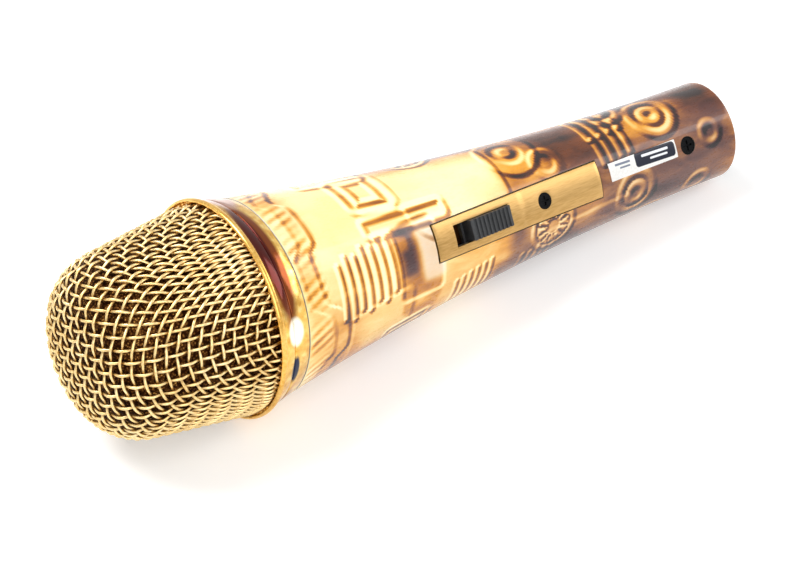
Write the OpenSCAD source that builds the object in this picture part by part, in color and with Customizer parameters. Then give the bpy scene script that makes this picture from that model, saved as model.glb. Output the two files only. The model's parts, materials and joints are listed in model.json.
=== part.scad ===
// Handheld karaoke microphone, lying on its side as it was photographed. Millimetres, +Z up.
// Every piece is drawn upright on the microphone's own axis: z is the distance from the tail
// face, and +x is the side with the switch. lay() then rests the finished piece on z = 0 with
// the head toward -X, touching at the tail's edge and at the rim of the flange.

/* [Handle] */
// Diameter of the handle at the tail
tail_d = 25.2; // [24:0.1:28]
// Length of the handle, from the tail face to the seam below the collar
handle_len = 142; // [138:1:160]
// Diameter of the handle at the seam
seam_d = 48.8; // [47:0.2:52]
// Wall of the handle
handle_wall = 2.4; // [2:0.1:2.8]
// Rounding of the outer edge of the tail
tail_edge_r = 0.6; // [0.3:0.1:1]

/* [Neck and collar] */
// Diameter of the threaded neck that the head screws on to
thread_d = 42; // [41:0.2:43]
// Length of the threaded neck
thread_len = 7; // [5:0.5:7.4]
// Running gap between the neck and the collar, on the radius
thread_gap = 0.05; // [0.02:0.01:0.1]
// Gap at the seam between the handle and the collar
seam_gap = 0.1; // [0.05:0.05:0.3]
// Length of the collar, from the seam to the flange
collar_len = 7.9; // [7.6:0.1:12]
// How far the front edge of the collar stands out past the mesh, on the radius
collar_over = 0.1; // [0:0.05:0.3]
// Length of the rear band of the collar
band_len = 4.6; // [3:0.1:6]
// Width and depth of the groove between the two bands of the collar
band_groove = 0.4; // [0.2:0.1:0.8]
// How far the flange stands out past the mesh, on the radius
flange_over = 0.9; // [0.7:0.1:3]
// Length of the flange along the microphone
flange_len = 1.5; // [1.2:0.1:3]
// Rounding of the edges of the flange
flange_edge_r = 0.6; // [0.2:0.1:0.6]
// Thickness of the ledge inside the flange that the mesh stands on
flange_ledge = 0.4; // [0.3:0.1:0.8]

/* [Grille] */
// Outer diameter of the mesh where it stands in the flange
mesh_base_d = 52.2; // [50:0.2:58]
// Height of the mesh above the ledge of the flange
mesh_h = 40.5; // [38:0.5:50]
// How far the side of the mesh leans in, in degrees
mesh_taper = 7; // [5:0.5:9]
// Radius of the rounded shoulder of the mesh
shoulder_r = 14; // [11:0.5:16]
// Radius of the shallow crown at the front of the mesh
crown_r = 65; // [55:1:90]
// Thickness of the woven mesh: two wires
mesh_t = 1.7; // [1.2:0.1:2.2]
// Distance between the wire ridges of the mesh, along the dome
net_pitch = 3.3; // [3:0.1:4]
// Height of the wire ridges, as a share of the thickness of the mesh
net_share = 0.48; // [0.3:0.02:0.5]
// Thickness of the fine liner gauze
liner_t = 0.3; // [0.2:0.05:0.5]
// Thickness of the foam windscreen
foam_t = 2.6; // [2:0.1:4]
// Height and thickness of the ring that clamps the mesh and the liner
clamp_h = 2.6; // [1.5:0.1:4]
clamp_t = 1.2; // [0.8:0.1:2]
// Gap between pieces of the grille that touch
fit_gap = 0.05; // [0.02:0.01:0.1]
// Gap between the foam and what it lies against
soft_gap = 0.35; // [0.3:0.05:0.6]

/* [Switch] */
// Place of the tail end of the switch plate, from the tail face
plate_s = 45.5; // [42:0.5:50]
// Length of the switch plate
plate_len = 54.1; // [53.5:0.1:58]
// Width of the switch plate
plate_w = 9.1; // [9:0.1:11]
// Thickness of the switch plate
plate_t = 1.2; // [1:0.1:1.5]
// How far the plate stands proud of the handle
plate_proud = 0.2; // [0:0.05:0.4]
// Extra height of the plate around the switch, from its cross line on
plate_step = 0.12; // [0:0.02:0.3]
// Distance from the window back to that cross line
step_back = 4.25; // [3:0.05:5]
// Dark gap all round the plate
plate_gap = 0.3; // [0.15:0.05:0.5]
// Distance from the head end of the plate back to the middle of the window
window_back = 15; // [14.6:0.1:16]
// Length of the window
window_len = 18; // [17:0.5:19]
// Width of the window
window_w = 5.4; // [5:0.1:5.8]
// Length of the knob of the slider
knob_len = 13.2; // [11:0.1:14]
// How far the knob stands above the plate
knob_h = 1.3; // [0.8:0.1:2]
// Gap between the knob and the window
knob_gap = 0.15; // [0.1:0.05:0.3]
// Number of grip ribs on the knob
rib_count = 9; // [5:1:12]
// Depth of the grooves between the ribs
rib_depth = 0.4; // [0.2:0.05:0.6]
// Thickness of the slider's foot
foot_t = 1.2; // [0.8:0.1:1.5]
// How far the foot reaches past the knob at each end and each side
foot_over = 0.5; // [0.4:0.05:0.8]
// Running gap of the foot in the switch housing
slide_gap = 0.06; // [0.03:0.01:0.1]
// Wall of the switch housing
housing_wall = 0.6; // [0.5:0.1:0.8]
// Depth of the switch housing
housing_h = 4.4; // [4:0.1:5]
// Thickness of the sheet metal of the bracket
bracket_t = 0.5; // [0.4:0.1:0.8]
// Thickness of the board that closes the housing
base_t = 0.8; // [0.6:0.1:1.2]
// Length of the switch terminals below the board
lug_len = 3; // [2:0.5:4]

/* [Screws] */
// Place of the plate screw, from the tail face
plate_screw_s = 64.1; // [60:0.1:66]
// Head diameter of the plate screw
plate_head_d = 4; // [3.6:0.1:4.4]
// Head height of the plate screw
plate_head_h = 0.6; // [0.4:0.1:0.7]
// Shank diameter of the plate screw
plate_shank_d = 2.3; // [2:0.1:2.6]
// Length of the boss under the plate screw
boss_len = 3; // [2:0.5:4]
// Place of the screw that locks the socket insert, from the tail face
lock_s = 15.9; // [15.5:0.1:17]
// Head diameter of the locking screw
lock_head_d = 4.5; // [4:0.1:5]
// Head height of the locking screw
lock_head_h = 1; // [0.8:0.1:1.2]
// Depth of the locking screw's face below the handle
lock_recess = 0.3; // [0.1:0.05:0.4]
// Shank diameter of the locking screw
lock_shank_d = 2.9; // [2.5:0.1:3]
// Shank diameter of the bracket screws
bracket_shank_d = 1.9; // [1.6:0.1:2]
// Head diameter of the bracket screws
bracket_head_d = 3.2; // [2.8:0.1:3.4]
// Gap between a screw and its hole, on the radius
screw_gap = 0.1; // [0.05:0.05:0.2]

/* [Label] */
// Place of the tail end of the label, from the tail face
label_s = 19.8; // [19.5:0.1:21]
// Length of the label
label_len = 22.2; // [18:0.2:23]
// Width of the label
label_w = 4.6; // [4:0.1:6]
// Angle of the middle of the label round the handle, from the switch
label_turn = 2; // [0:1:20]
// Thickness of the label
label_t = 0.4; // [0.3:0.05:0.5]
// Depth of the shallow seat of the label
label_seat = 0.2; // [0.1:0.05:0.25]

/* [Socket] */
// Diameter of the socket bore
socket_d = 19; // [18.8:0.1:19.4]
// Depth of the socket, from the tail face to the face of the insert
socket_depth = 13; // [12:0.5:14]
// Thickness of the socket insert
insert_t = 7; // [6:0.5:9]
// Width of the stop ledge behind the insert, on the radius
stop_w = 1.1; // [0.8:0.1:1.5]
// Thickness of the stop ledge behind the insert
stop_t = 2; // [1.5:0.1:3]
// Diameter of the contact pins
pin_d = 2.4; // [2.3:0.05:2.5]
// Length of the contact pins in front of the insert
pin_len = 10.4; // [9.5:0.1:11]
// Radius of the circle that the pins stand on
pin_circle_r = 3.81; // [3.7:0.01:3.9]
// Diameter of the pins inside the insert
pin_root_d = 3; // [2.8:0.05:3.2]
// Diameter of the solder cups behind the insert
cup_d = 2; // [1.6:0.1:2.2]
// Width of the key of the socket
key_w = 2.2; // [1.8:0.1:2.6]
// Height of the key, on the radius
key_h = 1.3; // [1:0.1:1.6]
// Length of the key in front of the insert
key_len = 2.6; // [1.5:0.1:3]
// Thickness and width of the ground spring
spring_t = 0.3; // [0.2:0.05:0.4]
spring_w = 3; // [2:0.2:3.4]

/* [Capsule] */
// Outer diameter of the capsule
capsule_d = 32.6; // [32:0.2:33.4]
// Length of the capsule
capsule_len = 18; // [17:0.5:20]
// Bore of the neck that holds the shock ring
neck_bore_d = 38; // [37.4:0.2:38.4]
// Depth of the neck bore below the seam
neck_depth = 4; // [3:0.5:6]
// Thickness of the lip under the capsule
lip_t = 2; // [1.5:0.1:3]
// Width of the ledge that carries the shock ring
ledge_w = 4; // [3:0.1:4.5]
// Gap of the shock ring to the neck and to the capsule
ring_gap = 0.1; // [0.05:0.05:0.2]
// Outer diameter of the magnet yoke
yoke_d = 24; // [23:0.2:25]
// Height of the magnet yoke
yoke_h = 10.4; // [10:0.1:11]
// Wall of the yoke
yoke_wall = 1.6; // [1.2:0.1:2]
// Height of the magnet
magnet_h = 6; // [5:0.1:6.4]
// Diameter of the magnet
magnet_d = 14.6; // [12:0.2:15]
// Diameter of the pole plate
pole_d = 16.4; // [16:0.1:16.8]
// Mean diameter of the voice coil
coil_d = 18.6; // [18.5:0.05:18.7]
// Thickness of the winding of the voice coil
coil_t = 0.8; // [0.5:0.05:0.9]
// Length of the voice coil
coil_len = 5.4; // [4:0.1:6]
// Diameter of the diaphragm
diaphragm_d = 28.4; // [27:0.2:29]
// Thickness of the diaphragm
diaphragm_t = 0.3; // [0.2:0.05:0.4]
// Height of the dome of the diaphragm
dome_h = 1.6; // [1:0.1:2]
// Free travel of the diaphragm on each side of its rest
diaphragm_travel = 0.3; // [0.2:0.05:0.4]
// Number of sound holes in the ring of the cap
cap_holes = 10; // [6:1:12]
// Diameter of the sound holes
cap_hole_d = 4; // [3:0.1:4.4]
// Thickness of the cap
cap_t = 1.6; // [1.2:0.1:2]
// Thickness of the felt disc under the cap
felt_t = 0.8; // [0.5:0.1:1]

/* [Wires] */
// Diameter of the insulated wires
wire_d = 1.3; // [1:0.1:1.3]

/* [Pose] */
// Angle of the switch above the horizontal, in degrees
switch_up = 31.4; // [0:0.2:90]

/* [Hidden] */

gold = "#e3bb62";
pale_gold = "#ecd9a0";
satin_gold = "#c9a14a";
black = "#26262a";
navy = "#1d2040";
steel = "#b9bdc4";
brass = "#c8a252";
nickel = "#cfd0cd";
copper = "#b4693a";
white = "#eeeeea";
board_brown = "#8a5a34";
wire_red = "#b3262c";
wire_green = "#3c7a4a";
magnet_grey = "#6f7076";
film = "#c9c3a8";
felt_red = "#7d2f35";
gauze_brown = "#6b4a26";
foam_brown = "#4a3620";
rubber = "#3a3a3c";

big = 200;                     // longer than any piece it cuts
over = 1;                      // how far a cut runs on past the metal
turned = 96;                   // sides of a turned piece
drilled = 40;                  // sides of a hole or a pin
body_steps = 24;               // steps along the curve of the handle
arc_steps = 8;                 // steps round a shoulder or an edge
net_square = 6;                // rings of the mesh's square lattice over its crown
net_inset = 0.3;               // share of the way in to a cell's middle where its floor begins

// The handle widens from the tail with the square of the distance.
flare = (seam_d - tail_d) / 2 / pow(handle_len, 2);
function body_r(s) = tail_d / 2 + flare * s * s;
function cavity_r(s) = body_r(s) - handle_wall;

seam_s = handle_len;
flange_s = seam_s + collar_len;
mesh_s = flange_s + flange_ledge;
mesh_top = mesh_s + mesh_h;

// Lying pose: one straight floor line touches the tail's edge arc and the flange's rear edge arc.
tail_arc_r = body_r(tail_edge_r) - tail_edge_r;
flange_arc_r = mesh_base_d / 2 + flange_over - flange_edge_r;
collar_front_r = mesh_base_d / 2 + collar_over;
rise_s = flange_s + flange_edge_r - tail_edge_r;
rise_r = flange_arc_r - tail_arc_r;
tilt = atan2(rise_r, rise_s) + asin((flange_edge_r - tail_edge_r) / norm([rise_s, rise_r]));
lift = tail_arc_r * cos(tilt) - tail_edge_r * sin(tilt) + tail_edge_r;

// Outline of the dome: a leaning side, a shoulder arc and a crown arc that meet smoothly.
crown_c = mesh_top - crown_r;
arc_offset = crown_r - shoulder_r;
side_offset = mesh_base_d / 2 * cos(mesh_taper) - shoulder_r - (crown_c - mesh_s) * sin(mesh_taper);
crown_half = asin(side_offset / arc_offset) - mesh_taper;
shoulder_c = [arc_offset * sin(crown_half), crown_c + arc_offset * cos(crown_half)];

tail_x = tail_edge_r + tail_arc_r * sin(tilt) - tail_edge_r * cos(tilt);
middle_x = (crown_c * cos(tilt) + crown_r - tail_x) / 2;

function dome_side(s, d) = mesh_base_d / 2 - (s - mesh_s) * tan(mesh_taper) - d / cos(mesh_taper);
function dome_outline(s, d) = concat(
    [[dome_side(s, d), s]],
    [for (i = [0:arc_steps])
        let (t = 90 - mesh_taper + (crown_half - 90 + mesh_taper) * i / arc_steps)
        shoulder_c + (shoulder_r - d) * [sin(t), cos(t)]],
    [for (i = [1:arc_steps])
        let (t = crown_half * (1 - i / arc_steps))
        [(crown_r - d) * sin(t), crown_c + (crown_r - d) * cos(t)]]
);
function backwards(list) = [for (i = [len(list) - 1:-1:0]) list[i]];

// Crossings of the mesh's wires lie in rings, evenly spaced along the dome from its tip. Over the
// crown they form a square lattice, so ring k has 8 k of them; further down the number is even.
mesh_low = mesh_s + fit_gap;
crown_len = crown_r * crown_half * PI / 180;
bend_end = crown_len + shoulder_r * (90 - mesh_taper - crown_half) * PI / 180;
dome_len = bend_end + (dome_bend(0) - mesh_low) / cos(mesh_taper);
net_rings = round(dome_len / net_pitch);
net_step = dome_len / net_rings;
net_h = mesh_t * net_share;
// Flat facets cut inside their arcs by this much, so the inner skin stands that far back.
net_sag = pow(net_step, 2) / (8 * shoulder_r)
    + mesh_base_d / 2 * (1 - cos(180 / ring_count(net_rings)));

function dome_bend(d) = shoulder_c.y + (shoulder_r - d) * sin(mesh_taper);
function dome_point(t, d) =
    t < crown_len ? let (a = crown_half * t / crown_len)
        [(crown_r - d) * sin(a), crown_c + (crown_r - d) * cos(a)]
    : t < bend_end ? let (a = crown_half + (t - crown_len) / shoulder_r * 180 / PI)
        shoulder_c + (shoulder_r - d) * [sin(a), cos(a)]
    : let (share = (t - bend_end) / (dome_len - bend_end))
        let (s = dome_bend(d) + (mesh_low - dome_bend(d)) * share)
        [dome_side(s, d), s];
function ring_count(k) = 8 * min(k, net_square);
function ring_first(k) = k == 0 ? 0
    : k <= net_square ? 1 + 4 * k * (k - 1)
    : ring_first(net_square) + ring_count(k) * (k - net_square);
function crossing(k, p) = k == 0 ? 0 : ring_first(k) + (p + ring_count(k)) % ring_count(k);
function crossings(d) = [
    for (k = [0:net_rings])
        let (place = dome_point(k * net_step, d))
        for (p = [0:max(ring_count(k), 1) - 1])
            let (a = 360 * p / max(ring_count(k), 1))
            [place.x * cos(a), place.x * sin(a), place.y]
];
// Cells between the wires, each by its four crossings, clockwise seen from outside
net_cells = [
    for (k = [0:net_rings - 1])
        for (side = [0:3])
            let (grows = k < net_square, n = k + 1, half = min(k, net_square))
            let (near = half * (2 * side - 1), far = grows ? n * (2 * side - 1) + 1 : near)
            each concat(
                half == 0 ? [] : [
                    for (m = [0:2 * half - 1]) [
                        crossing(k, near + m), crossing(k, near + m + 1),
                        crossing(n, far + m + 1), crossing(n, far + m)
                    ]
                ],
                !grows ? [] : [[
                    crossing(k, k * (2 * side + 1)), crossing(n, n * (2 * side + 1) + 1),
                    crossing(n, n * (2 * side + 1)), crossing(n, n * (2 * side + 1) - 1)
                ]]
            )
];

// Switch: its own frame has x outward from the plate's face and z along the plate.
window_s = plate_s + plate_len - window_back;
step_s = window_s - window_len / 2 - step_back;
switch_r = body_r(window_s) + plate_proud + plate_step;
switch_tilt = atan(2 * flare * window_s);
plate_seat = plate_t - plate_proud;
housing_w = window_w + 2 * (foot_over + slide_gap + housing_wall);
under_r = body_r(window_s - window_len) - plate_seat;
plate_sag = under_r - sqrt(pow(under_r, 2) - pow(housing_w / 2, 2));
bracket_top = -(plate_t + plate_step + plate_sag);
housing_top = bracket_top - bracket_t;
base_top = housing_top - housing_h;
foot_top = housing_top - slide_gap;
foot_len = knob_len + 2 * foot_over;
slide_travel = window_len - knob_len - 2 * knob_gap;
knob_tail = knob_gap - window_len / 2;
housing_in_len = foot_len + slide_travel + 2 * knob_gap;
housing_len = housing_in_len + 2 * housing_wall;
ear_z = housing_len / 2 + bracket_t + bracket_head_d / 2 + 2 * fit_gap;
ear_end = ear_z + bracket_head_d / 2;
pad_t = 0.4;
lug_w = 1.6;
lug_t = 0.5;
lug_pitch = 6;
contact_gap = 0.1;
slot_gap = 0.25;
leaf_t = 0.3;
boss_wall = 2;
boss_drop = 0.7;
blind_skin = 0.5;
screw_tip = 0.6;
screw_join = 0.2;
cross_depth = 0.35;
cross_w = 0.5;
cross_share = 0.6;
lug_tip = base_top - base_t - lug_len;

// Socket and capsule
socket_r = socket_d / 2;
stop_s = socket_depth + insert_t;
cavity_s = stop_s + stop_t;
cup_len = 4;
lug_end_s = stop_s + cup_len;
screw_bite = 1.5;
spring_lead = 1;
spring_s = socket_depth + spring_lead;
spring_face = sqrt(pow(socket_r, 2) - pow(spring_w / 2, 2)) - fit_gap;
spring_leg = socket_r - 2;
ledge_s = seam_s - neck_depth;
neck_top = seam_s + thread_len;
neck_r = neck_bore_d / 2;
ledge_r = neck_r - ledge_w;
ledge_t = 2;
capsule_s = ledge_s + lip_t;
capsule_top = capsule_s + capsule_len;
capsule_floor = 1.6;
yoke_s = capsule_s + capsule_floor + fit_gap;
yoke_floor = 2;
magnet_s = yoke_s + yoke_floor + fit_gap;
pole_s = magnet_s + magnet_h + fit_gap;
yoke_top = yoke_s + yoke_h;
capsule_wall = 1.4;
chamber_r = capsule_d / 2 - capsule_wall;
coil_gap = 0.1;
diaphragm_s = yoke_top + diaphragm_travel + fit_gap + coil_gap;
clamp_s = diaphragm_s + diaphragm_t + diaphragm_travel + fit_gap;
dome_edge_r = (coil_d + coil_t) / 2 + diaphragm_t;
cap_s = capsule_top - cap_t;
board_t = 1.4;
board_margin = 2.2;
board_r = ledge_r - board_margin;
board_lug_x = 5;

// Point beside the switch: x outward from the tips of its lugs, z along the plate from the window
function at_switch(x, y, z) = [
    switch_r + (lug_tip + x) * cos(switch_tilt) + z * sin(switch_tilt), y,
    window_s - (lug_tip + x) * sin(switch_tilt) + z * cos(switch_tilt),
];

// Hand-chosen routes of the wires. Each starts beside one terminal, hangs a little slack in the
// handle and ends beside the next. The other points count from the capsule or from the pins.
route_capsule_hot = [
    [5, 0.95, capsule_s - 5.6], [5.2, 1.1, capsule_s - 10], [5.8, 3, capsule_s - 18],
    at_switch(-2, 4, 26.3), at_switch(-0.4, 2.6, 16.4), at_switch(0.2, 1, 8.9), at_switch(0.45, 1, 5.4),
];
route_capsule_return = [
    [-5, -0.95, capsule_s - 5.6], [-4.8, -1.2, capsule_s - 10], [-3, -3.4, capsule_s - 19],
    at_switch(-8.1, -5, 24.7), at_switch(-3.5, -4, 15.1), at_switch(-0.8, -1.2, 8.3),
    at_switch(-0.1, -0.95, 3.9), at_switch(0.45, -0.95, -0.6),
];
route_pin_hot = [
    at_switch(0.3, 1, -5.2), at_switch(0.6, 1, -9.1), at_switch(0, 2, -16.7), at_switch(-1.3, 4.4, -27.9),
    [1.6, 5, lug_end_s + 22], [0.8, 4.4, lug_end_s + 11], [0, 3.8, lug_end_s + 4], [0, 3.8, lug_end_s + 0.2],
];
route_pin_return = [
    at_switch(-0.9, 0, -0.1), at_switch(-1.7, -0.4, -3.2), at_switch(-2.6, -1.6, -10),
    at_switch(-4.4, -3.2, -22.2), [-3, -3.6, lug_end_s + 27], [-4.6, -2.2, lug_end_s + 14],
    [-3.9, -0.3, lug_end_s + 5], [-3.8, 0, lug_end_s + 0.2],
];
route_ground = [
    [0, -3.8, lug_end_s + 0.2], [-0.2, -3.9, lug_end_s + 3], [-3, -4.4, lug_end_s + 6.4],
    [-6.2, -2.6, lug_end_s + 4.4], [-6.4, -0.2, lug_end_s - 0.2],
];
route_steps = 2;
wire_sides = 8;

module lay() {
    translate([middle_x, 0, lift])
        rotate([0, tilt - 90, 0])
            rotate([0, 0, switch_up - 90])
                children();
}

// Turned piece from a closed outline of [radius, distance] points
module lathe(outline) {
    rotate_extrude($fn = turned) polygon(outline);
}

module ring(r_in, r_out, s0, s1) {
    lathe([[r_in, s0], [r_out, s0], [r_out, s1], [r_in, s1]]);
}

module disc(r, s0, s1) {
    translate([0, 0, s0]) cylinder(r = r, h = s1 - s0, $fn = turned);
}

// Box given by its lowest and highest corners
module block(low, high) {
    translate(low) cube(high - low);
}

// Round bar across the microphone, from radius r0 out to radius r1
module radial_bar(r, r0, r1, s) {
    translate([r0, 0, s]) rotate([0, 90, 0]) cylinder(r = r, h = r1 - r0, $fn = drilled);
}

// Skin of the handle between two heights above its surface
module skin(s0, s1, low, high) {
    steps = [for (i = [0:body_steps]) s0 + (s1 - s0) * i / body_steps];
    lathe(concat(
        [for (s = steps) [body_r(s) + high, s]],
        [for (s = backwards(steps)) [body_r(s) + low, s]]
    ));
}

// Patch of that skin, as wide as w, on the side that faces the switch
module patch(s0, s1, w, low, high) {
    intersection() {
        skin(s0, s1, low, high);
        block([0, -w / 2, s0], [big, w / 2, s1]);
    }
}

module switch_frame() {
    translate([switch_r, 0, window_s]) rotate([0, switch_tilt, 0]) children();
}

module handle_shell() {
    curve = [for (i = [0:body_steps]) tail_edge_r + (seam_s - tail_edge_r) * i / body_steps];
    inner_top = ledge_s - ledge_t;
    inner = [for (i = [0:body_steps]) inner_top + (cavity_s - inner_top) * i / body_steps];
    lathe(concat(
        [[socket_r, 0]],
        [for (i = [0:arc_steps - 1])
            let (t = 90 * i / arc_steps)
            [tail_arc_r + tail_edge_r * sin(t), tail_edge_r * (1 - cos(t))]],
        [for (s = curve) [body_r(s), s]],
        [[thread_d / 2, seam_s], [thread_d / 2, neck_top], [neck_r, neck_top]],
        [[neck_r, ledge_s], [ledge_r, ledge_s], [ledge_r, inner_top]],
        [for (s = inner) [cavity_r(s), s]],
        [[socket_r - stop_w, cavity_s], [socket_r - stop_w, stop_s], [socket_r, stop_s]]
    ));
}

module handle_body() {
    screw_r = body_r(plate_screw_s) - plate_seat;
    lock_r = body_r(lock_s) - lock_head_h;
    plate_end = plate_s + plate_len;
    color(gold) lay() difference() {
        union() {
            handle_shell();
            radial_bar(plate_shank_d / 2 + boss_wall, screw_r - boss_len, screw_r - boss_drop, plate_screw_s);
        }
        patch(plate_s - plate_gap, plate_end + plate_gap, plate_w + 2 * plate_gap,
            -plate_seat - fit_gap, over);
        switch_frame() block(
            [-switch_r / 2, -housing_w / 2 - slot_gap, -ear_end - slot_gap],
            [over, housing_w / 2 + slot_gap, ear_end + slot_gap]
        );
        radial_bar(plate_shank_d / 2 + screw_gap, screw_r - boss_len - over, screw_r + over, plate_screw_s);
        radial_bar(lock_shank_d / 2 + screw_gap, socket_r / 2, lock_r + over, lock_s);
        radial_bar(lock_head_d / 2 + screw_gap, lock_r, lock_r + big, lock_s);
        rotate([0, 0, label_turn])
            patch(label_s - fit_gap, label_s + label_len + fit_gap, label_w + 2 * fit_gap,
                -label_seat, over);
    }
}

module label_badge() {
    color(navy) lay() rotate([0, 0, label_turn])
        patch(label_s, label_s + label_len, label_w, fit_gap - label_seat, label_t - label_seat);
}

module switch_plate() {
    end_s = plate_s + plate_len;
    top = body_r(plate_screw_s) + plate_proud;
    color(satin_gold) lay() difference() {
        union() {
            patch(plate_s, step_s, plate_w, -plate_seat, plate_proud);
            patch(step_s, end_s, plate_w, -plate_seat, plate_proud + plate_step);
            for (z = [-ear_z, ear_z])
                switch_frame() translate([bracket_top, 0, z]) rotate([0, 90, 0])
                    cylinder(d = bracket_head_d, h = -bracket_top - plate_t / 2, $fn = drilled);
        }
        switch_frame() block([-big / 2, -window_w / 2, -window_len / 2],
            [big / 2, window_w / 2, window_len / 2]);
        for (z = [-ear_z, ear_z])
            switch_frame() translate([bracket_top - over, 0, z]) rotate([0, 90, 0])
                cylinder(r = bracket_shank_d / 2 + screw_gap, h = over - bracket_top - blind_skin,
                    $fn = drilled);
        radial_bar(plate_shank_d / 2 + screw_gap, top - plate_t - over, top, plate_screw_s);
        radial_bar(plate_head_d / 2 + screw_gap, top - plate_head_h - fit_gap, top + over, plate_screw_s);
    }
}

module plate_screw() {
    top = body_r(plate_screw_s) + plate_proud;
    color(black) lay() difference() {
        union() {
            radial_bar(plate_head_d / 2, top - plate_head_h, top - fit_gap, plate_screw_s);
            radial_bar(plate_shank_d / 2, top - plate_t - boss_len + screw_tip, top - plate_head_h,
                plate_screw_s);
        }
        cross_slot(top - fit_gap, plate_head_d, plate_screw_s);
    }
}

// Cross recess cut into the head of a screw whose face is at radius r
module cross_slot(r, head_d, s) {
    w = head_d * cross_share;
    for (turn = [0, 90])
        translate([r, 0, s]) rotate([turn, 0, 0])
            block([-cross_depth, -w / 2, -cross_w / 2], [over, w / 2, cross_w / 2]);
}

module switch_bracket() {
    opening = housing_in_len / 2;
    leg = housing_len / 2 + fit_gap;
    leg_w = housing_w / 2 - 1;
    color(steel) lay() switch_frame() difference() {
        union() {
            block([housing_top, -housing_w / 2, -ear_end], [bracket_top, housing_w / 2, ear_end]);
            for (side = [0, 1]) mirror([0, 0, side])
                block([base_top, -leg_w, leg], [housing_top, leg_w, leg + bracket_t]);
        }
        block([-big / 2, -window_w / 2, -opening], [over, window_w / 2, opening]);
        for (z = [-ear_z, ear_z])
            translate([housing_top - over, 0, z]) rotate([0, 90, 0])
                cylinder(r = bracket_shank_d / 2 + screw_gap, h = bracket_t + 2 * over, $fn = drilled);
    }
}

module bracket_screws() {
    head_h = 1;
    tip_gap = 0.3;
    color(steel) lay() switch_frame() for (z = [-ear_z, ear_z]) translate([0, 0, z]) rotate([0, 90, 0]) {
        translate([0, 0, housing_top - head_h]) cylinder(d = bracket_head_d, h = head_h, $fn = drilled);
        translate([0, 0, housing_top - head_h / 2])
            cylinder(d = bracket_shank_d, h = head_h / 2 - housing_top - blind_skin - tip_gap, $fn = drilled);
    }
}

module switch_housing() {
    color(black) lay() switch_frame() difference() {
        block([base_top, -housing_w / 2, -housing_len / 2], [housing_top, housing_w / 2, housing_len / 2]);
        block([-big, housing_wall - housing_w / 2, -housing_in_len / 2],
            [over, housing_w / 2 - housing_wall, housing_in_len / 2]);
    }
}

module switch_base() {
    color(board_brown) lay() switch_frame() difference() {
        block([base_top - base_t, -housing_w / 2, -housing_len / 2],
            [base_top, housing_w / 2, housing_len / 2]);
        for (i = [-1:1])
            block([-big, -lug_t / 2 - fit_gap, i * lug_pitch - lug_w / 2 - fit_gap],
                [over, lug_t / 2 + fit_gap, i * lug_pitch + lug_w / 2 + fit_gap]);
    }
}

module switch_terminals() {
    color(brass) lay() switch_frame() for (i = [-1:1]) translate([base_top, 0, i * lug_pitch]) {
        block([-base_t - lug_len, -lug_t / 2, -lug_w / 2], [pad_t / 2, lug_t / 2, lug_w / 2]);
        block([0, -lug_w, -lug_w], [pad_t, lug_w, lug_w]);
    }
}

module switch_slider() {
    first = 1.2;                                           // smooth strip before the first groove
    tooth = (knob_len - first - 0.4) / rib_count;
    groove = [[0, 0], [-1, 0.1], [-1, 0.45], [0, 0.6]];    // shares of the depth and of the spacing
    bevel = [0.5, 0.1];
    back_bevel = 0.3;
    color(black) lay() switch_frame() translate([0, 0, knob_tail]) {
        rotate([90, 0, 0]) linear_extrude(window_w - 2 * knob_gap, center = true) polygon(concat(
            [[foot_top - foot_t / 2, 0], [knob_h - bevel[0], 0], [knob_h - bevel[1], bevel[0]]],
            [for (i = [0:rib_count - 1]) for (p = groove)
                [knob_h + p[0] * rib_depth, first + tooth * (i + p[1])]],
            [[knob_h, knob_len - back_bevel], [knob_h - back_bevel, knob_len]],
            [[foot_top - foot_t / 2, knob_len]]
        ));
        block([foot_top - foot_t, -window_w / 2 - foot_over, -foot_over],
            [foot_top, window_w / 2 + foot_over, knob_len + foot_over]);
    }
}

module switch_contact() {
    toe = 1;
    bend = 0.2;
    top = foot_top - foot_t - fit_gap;
    low = base_top + pad_t + contact_gap;
    reach = lug_pitch / 2 + lug_w / 2;
    middle = knob_tail + knob_len / 2;
    color(brass) lay() switch_frame() translate([0, 0, middle]) rotate([90, 0, 0])
        linear_extrude(lug_w * 2, center = true) polygon([
            [top, -reach / 2], [top, reach / 2], [low + leaf_t, reach / 2 + toe], [low + leaf_t, reach],
            [low, reach], [low, reach / 2 + toe - bend], [top - leaf_t, reach / 2 - bend],
            [top - leaf_t, bend - reach / 2], [low, bend - toe - reach / 2], [low, -reach],
            [low + leaf_t, -reach], [low + leaf_t, -reach / 2 - toe],
        ]);
}

// Places of the three contacts: 1 and 2 face each other, 3 is opposite the key
function pin_place(n) = pin_circle_r * (n == 1 ? [0, -1] : n == 2 ? [0, 1] : [-1, 0]);

module xlr_insert() {
    r = socket_r - fit_gap;
    top = stop_s - fit_gap;
    color(black) lay() difference() {
        union() {
            disc(r, socket_depth, top);
            intersection() {
                disc(r, socket_depth - key_len, top);
                block([r - key_h, -key_w / 2, socket_depth - key_len], [r, key_w / 2, top]);
            }
        }
        for (n = [1:3]) translate(pin_place(n)) disc(pin_root_d / 2 + fit_gap, socket_depth - over, big);
        radial_bar(lock_shank_d / 2 + screw_gap, r - screw_bite - screw_gap, r + over, lock_s);
        block([-big, -spring_w / 2 - fit_gap, spring_s],
            [spring_t + fit_gap - spring_leg, spring_w / 2 + fit_gap, big]);
    }
}

module contact_pin(n) {
    tip = 0.4;
    front = socket_depth - pin_len;
    color(nickel) lay() translate(pin_place(n)) {
        translate([0, 0, front]) cylinder(r1 = pin_d / 2 - tip, r2 = pin_d / 2, h = tip, $fn = drilled);
        translate([0, 0, front + tip]) cylinder(d = pin_d, h = pin_len - tip, $fn = drilled);
        translate([0, 0, socket_depth]) cylinder(d = pin_root_d, h = insert_t, $fn = drilled);
        translate([0, 0, stop_s]) cylinder(d = cup_d, h = cup_len, $fn = drilled);
    }
}

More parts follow.
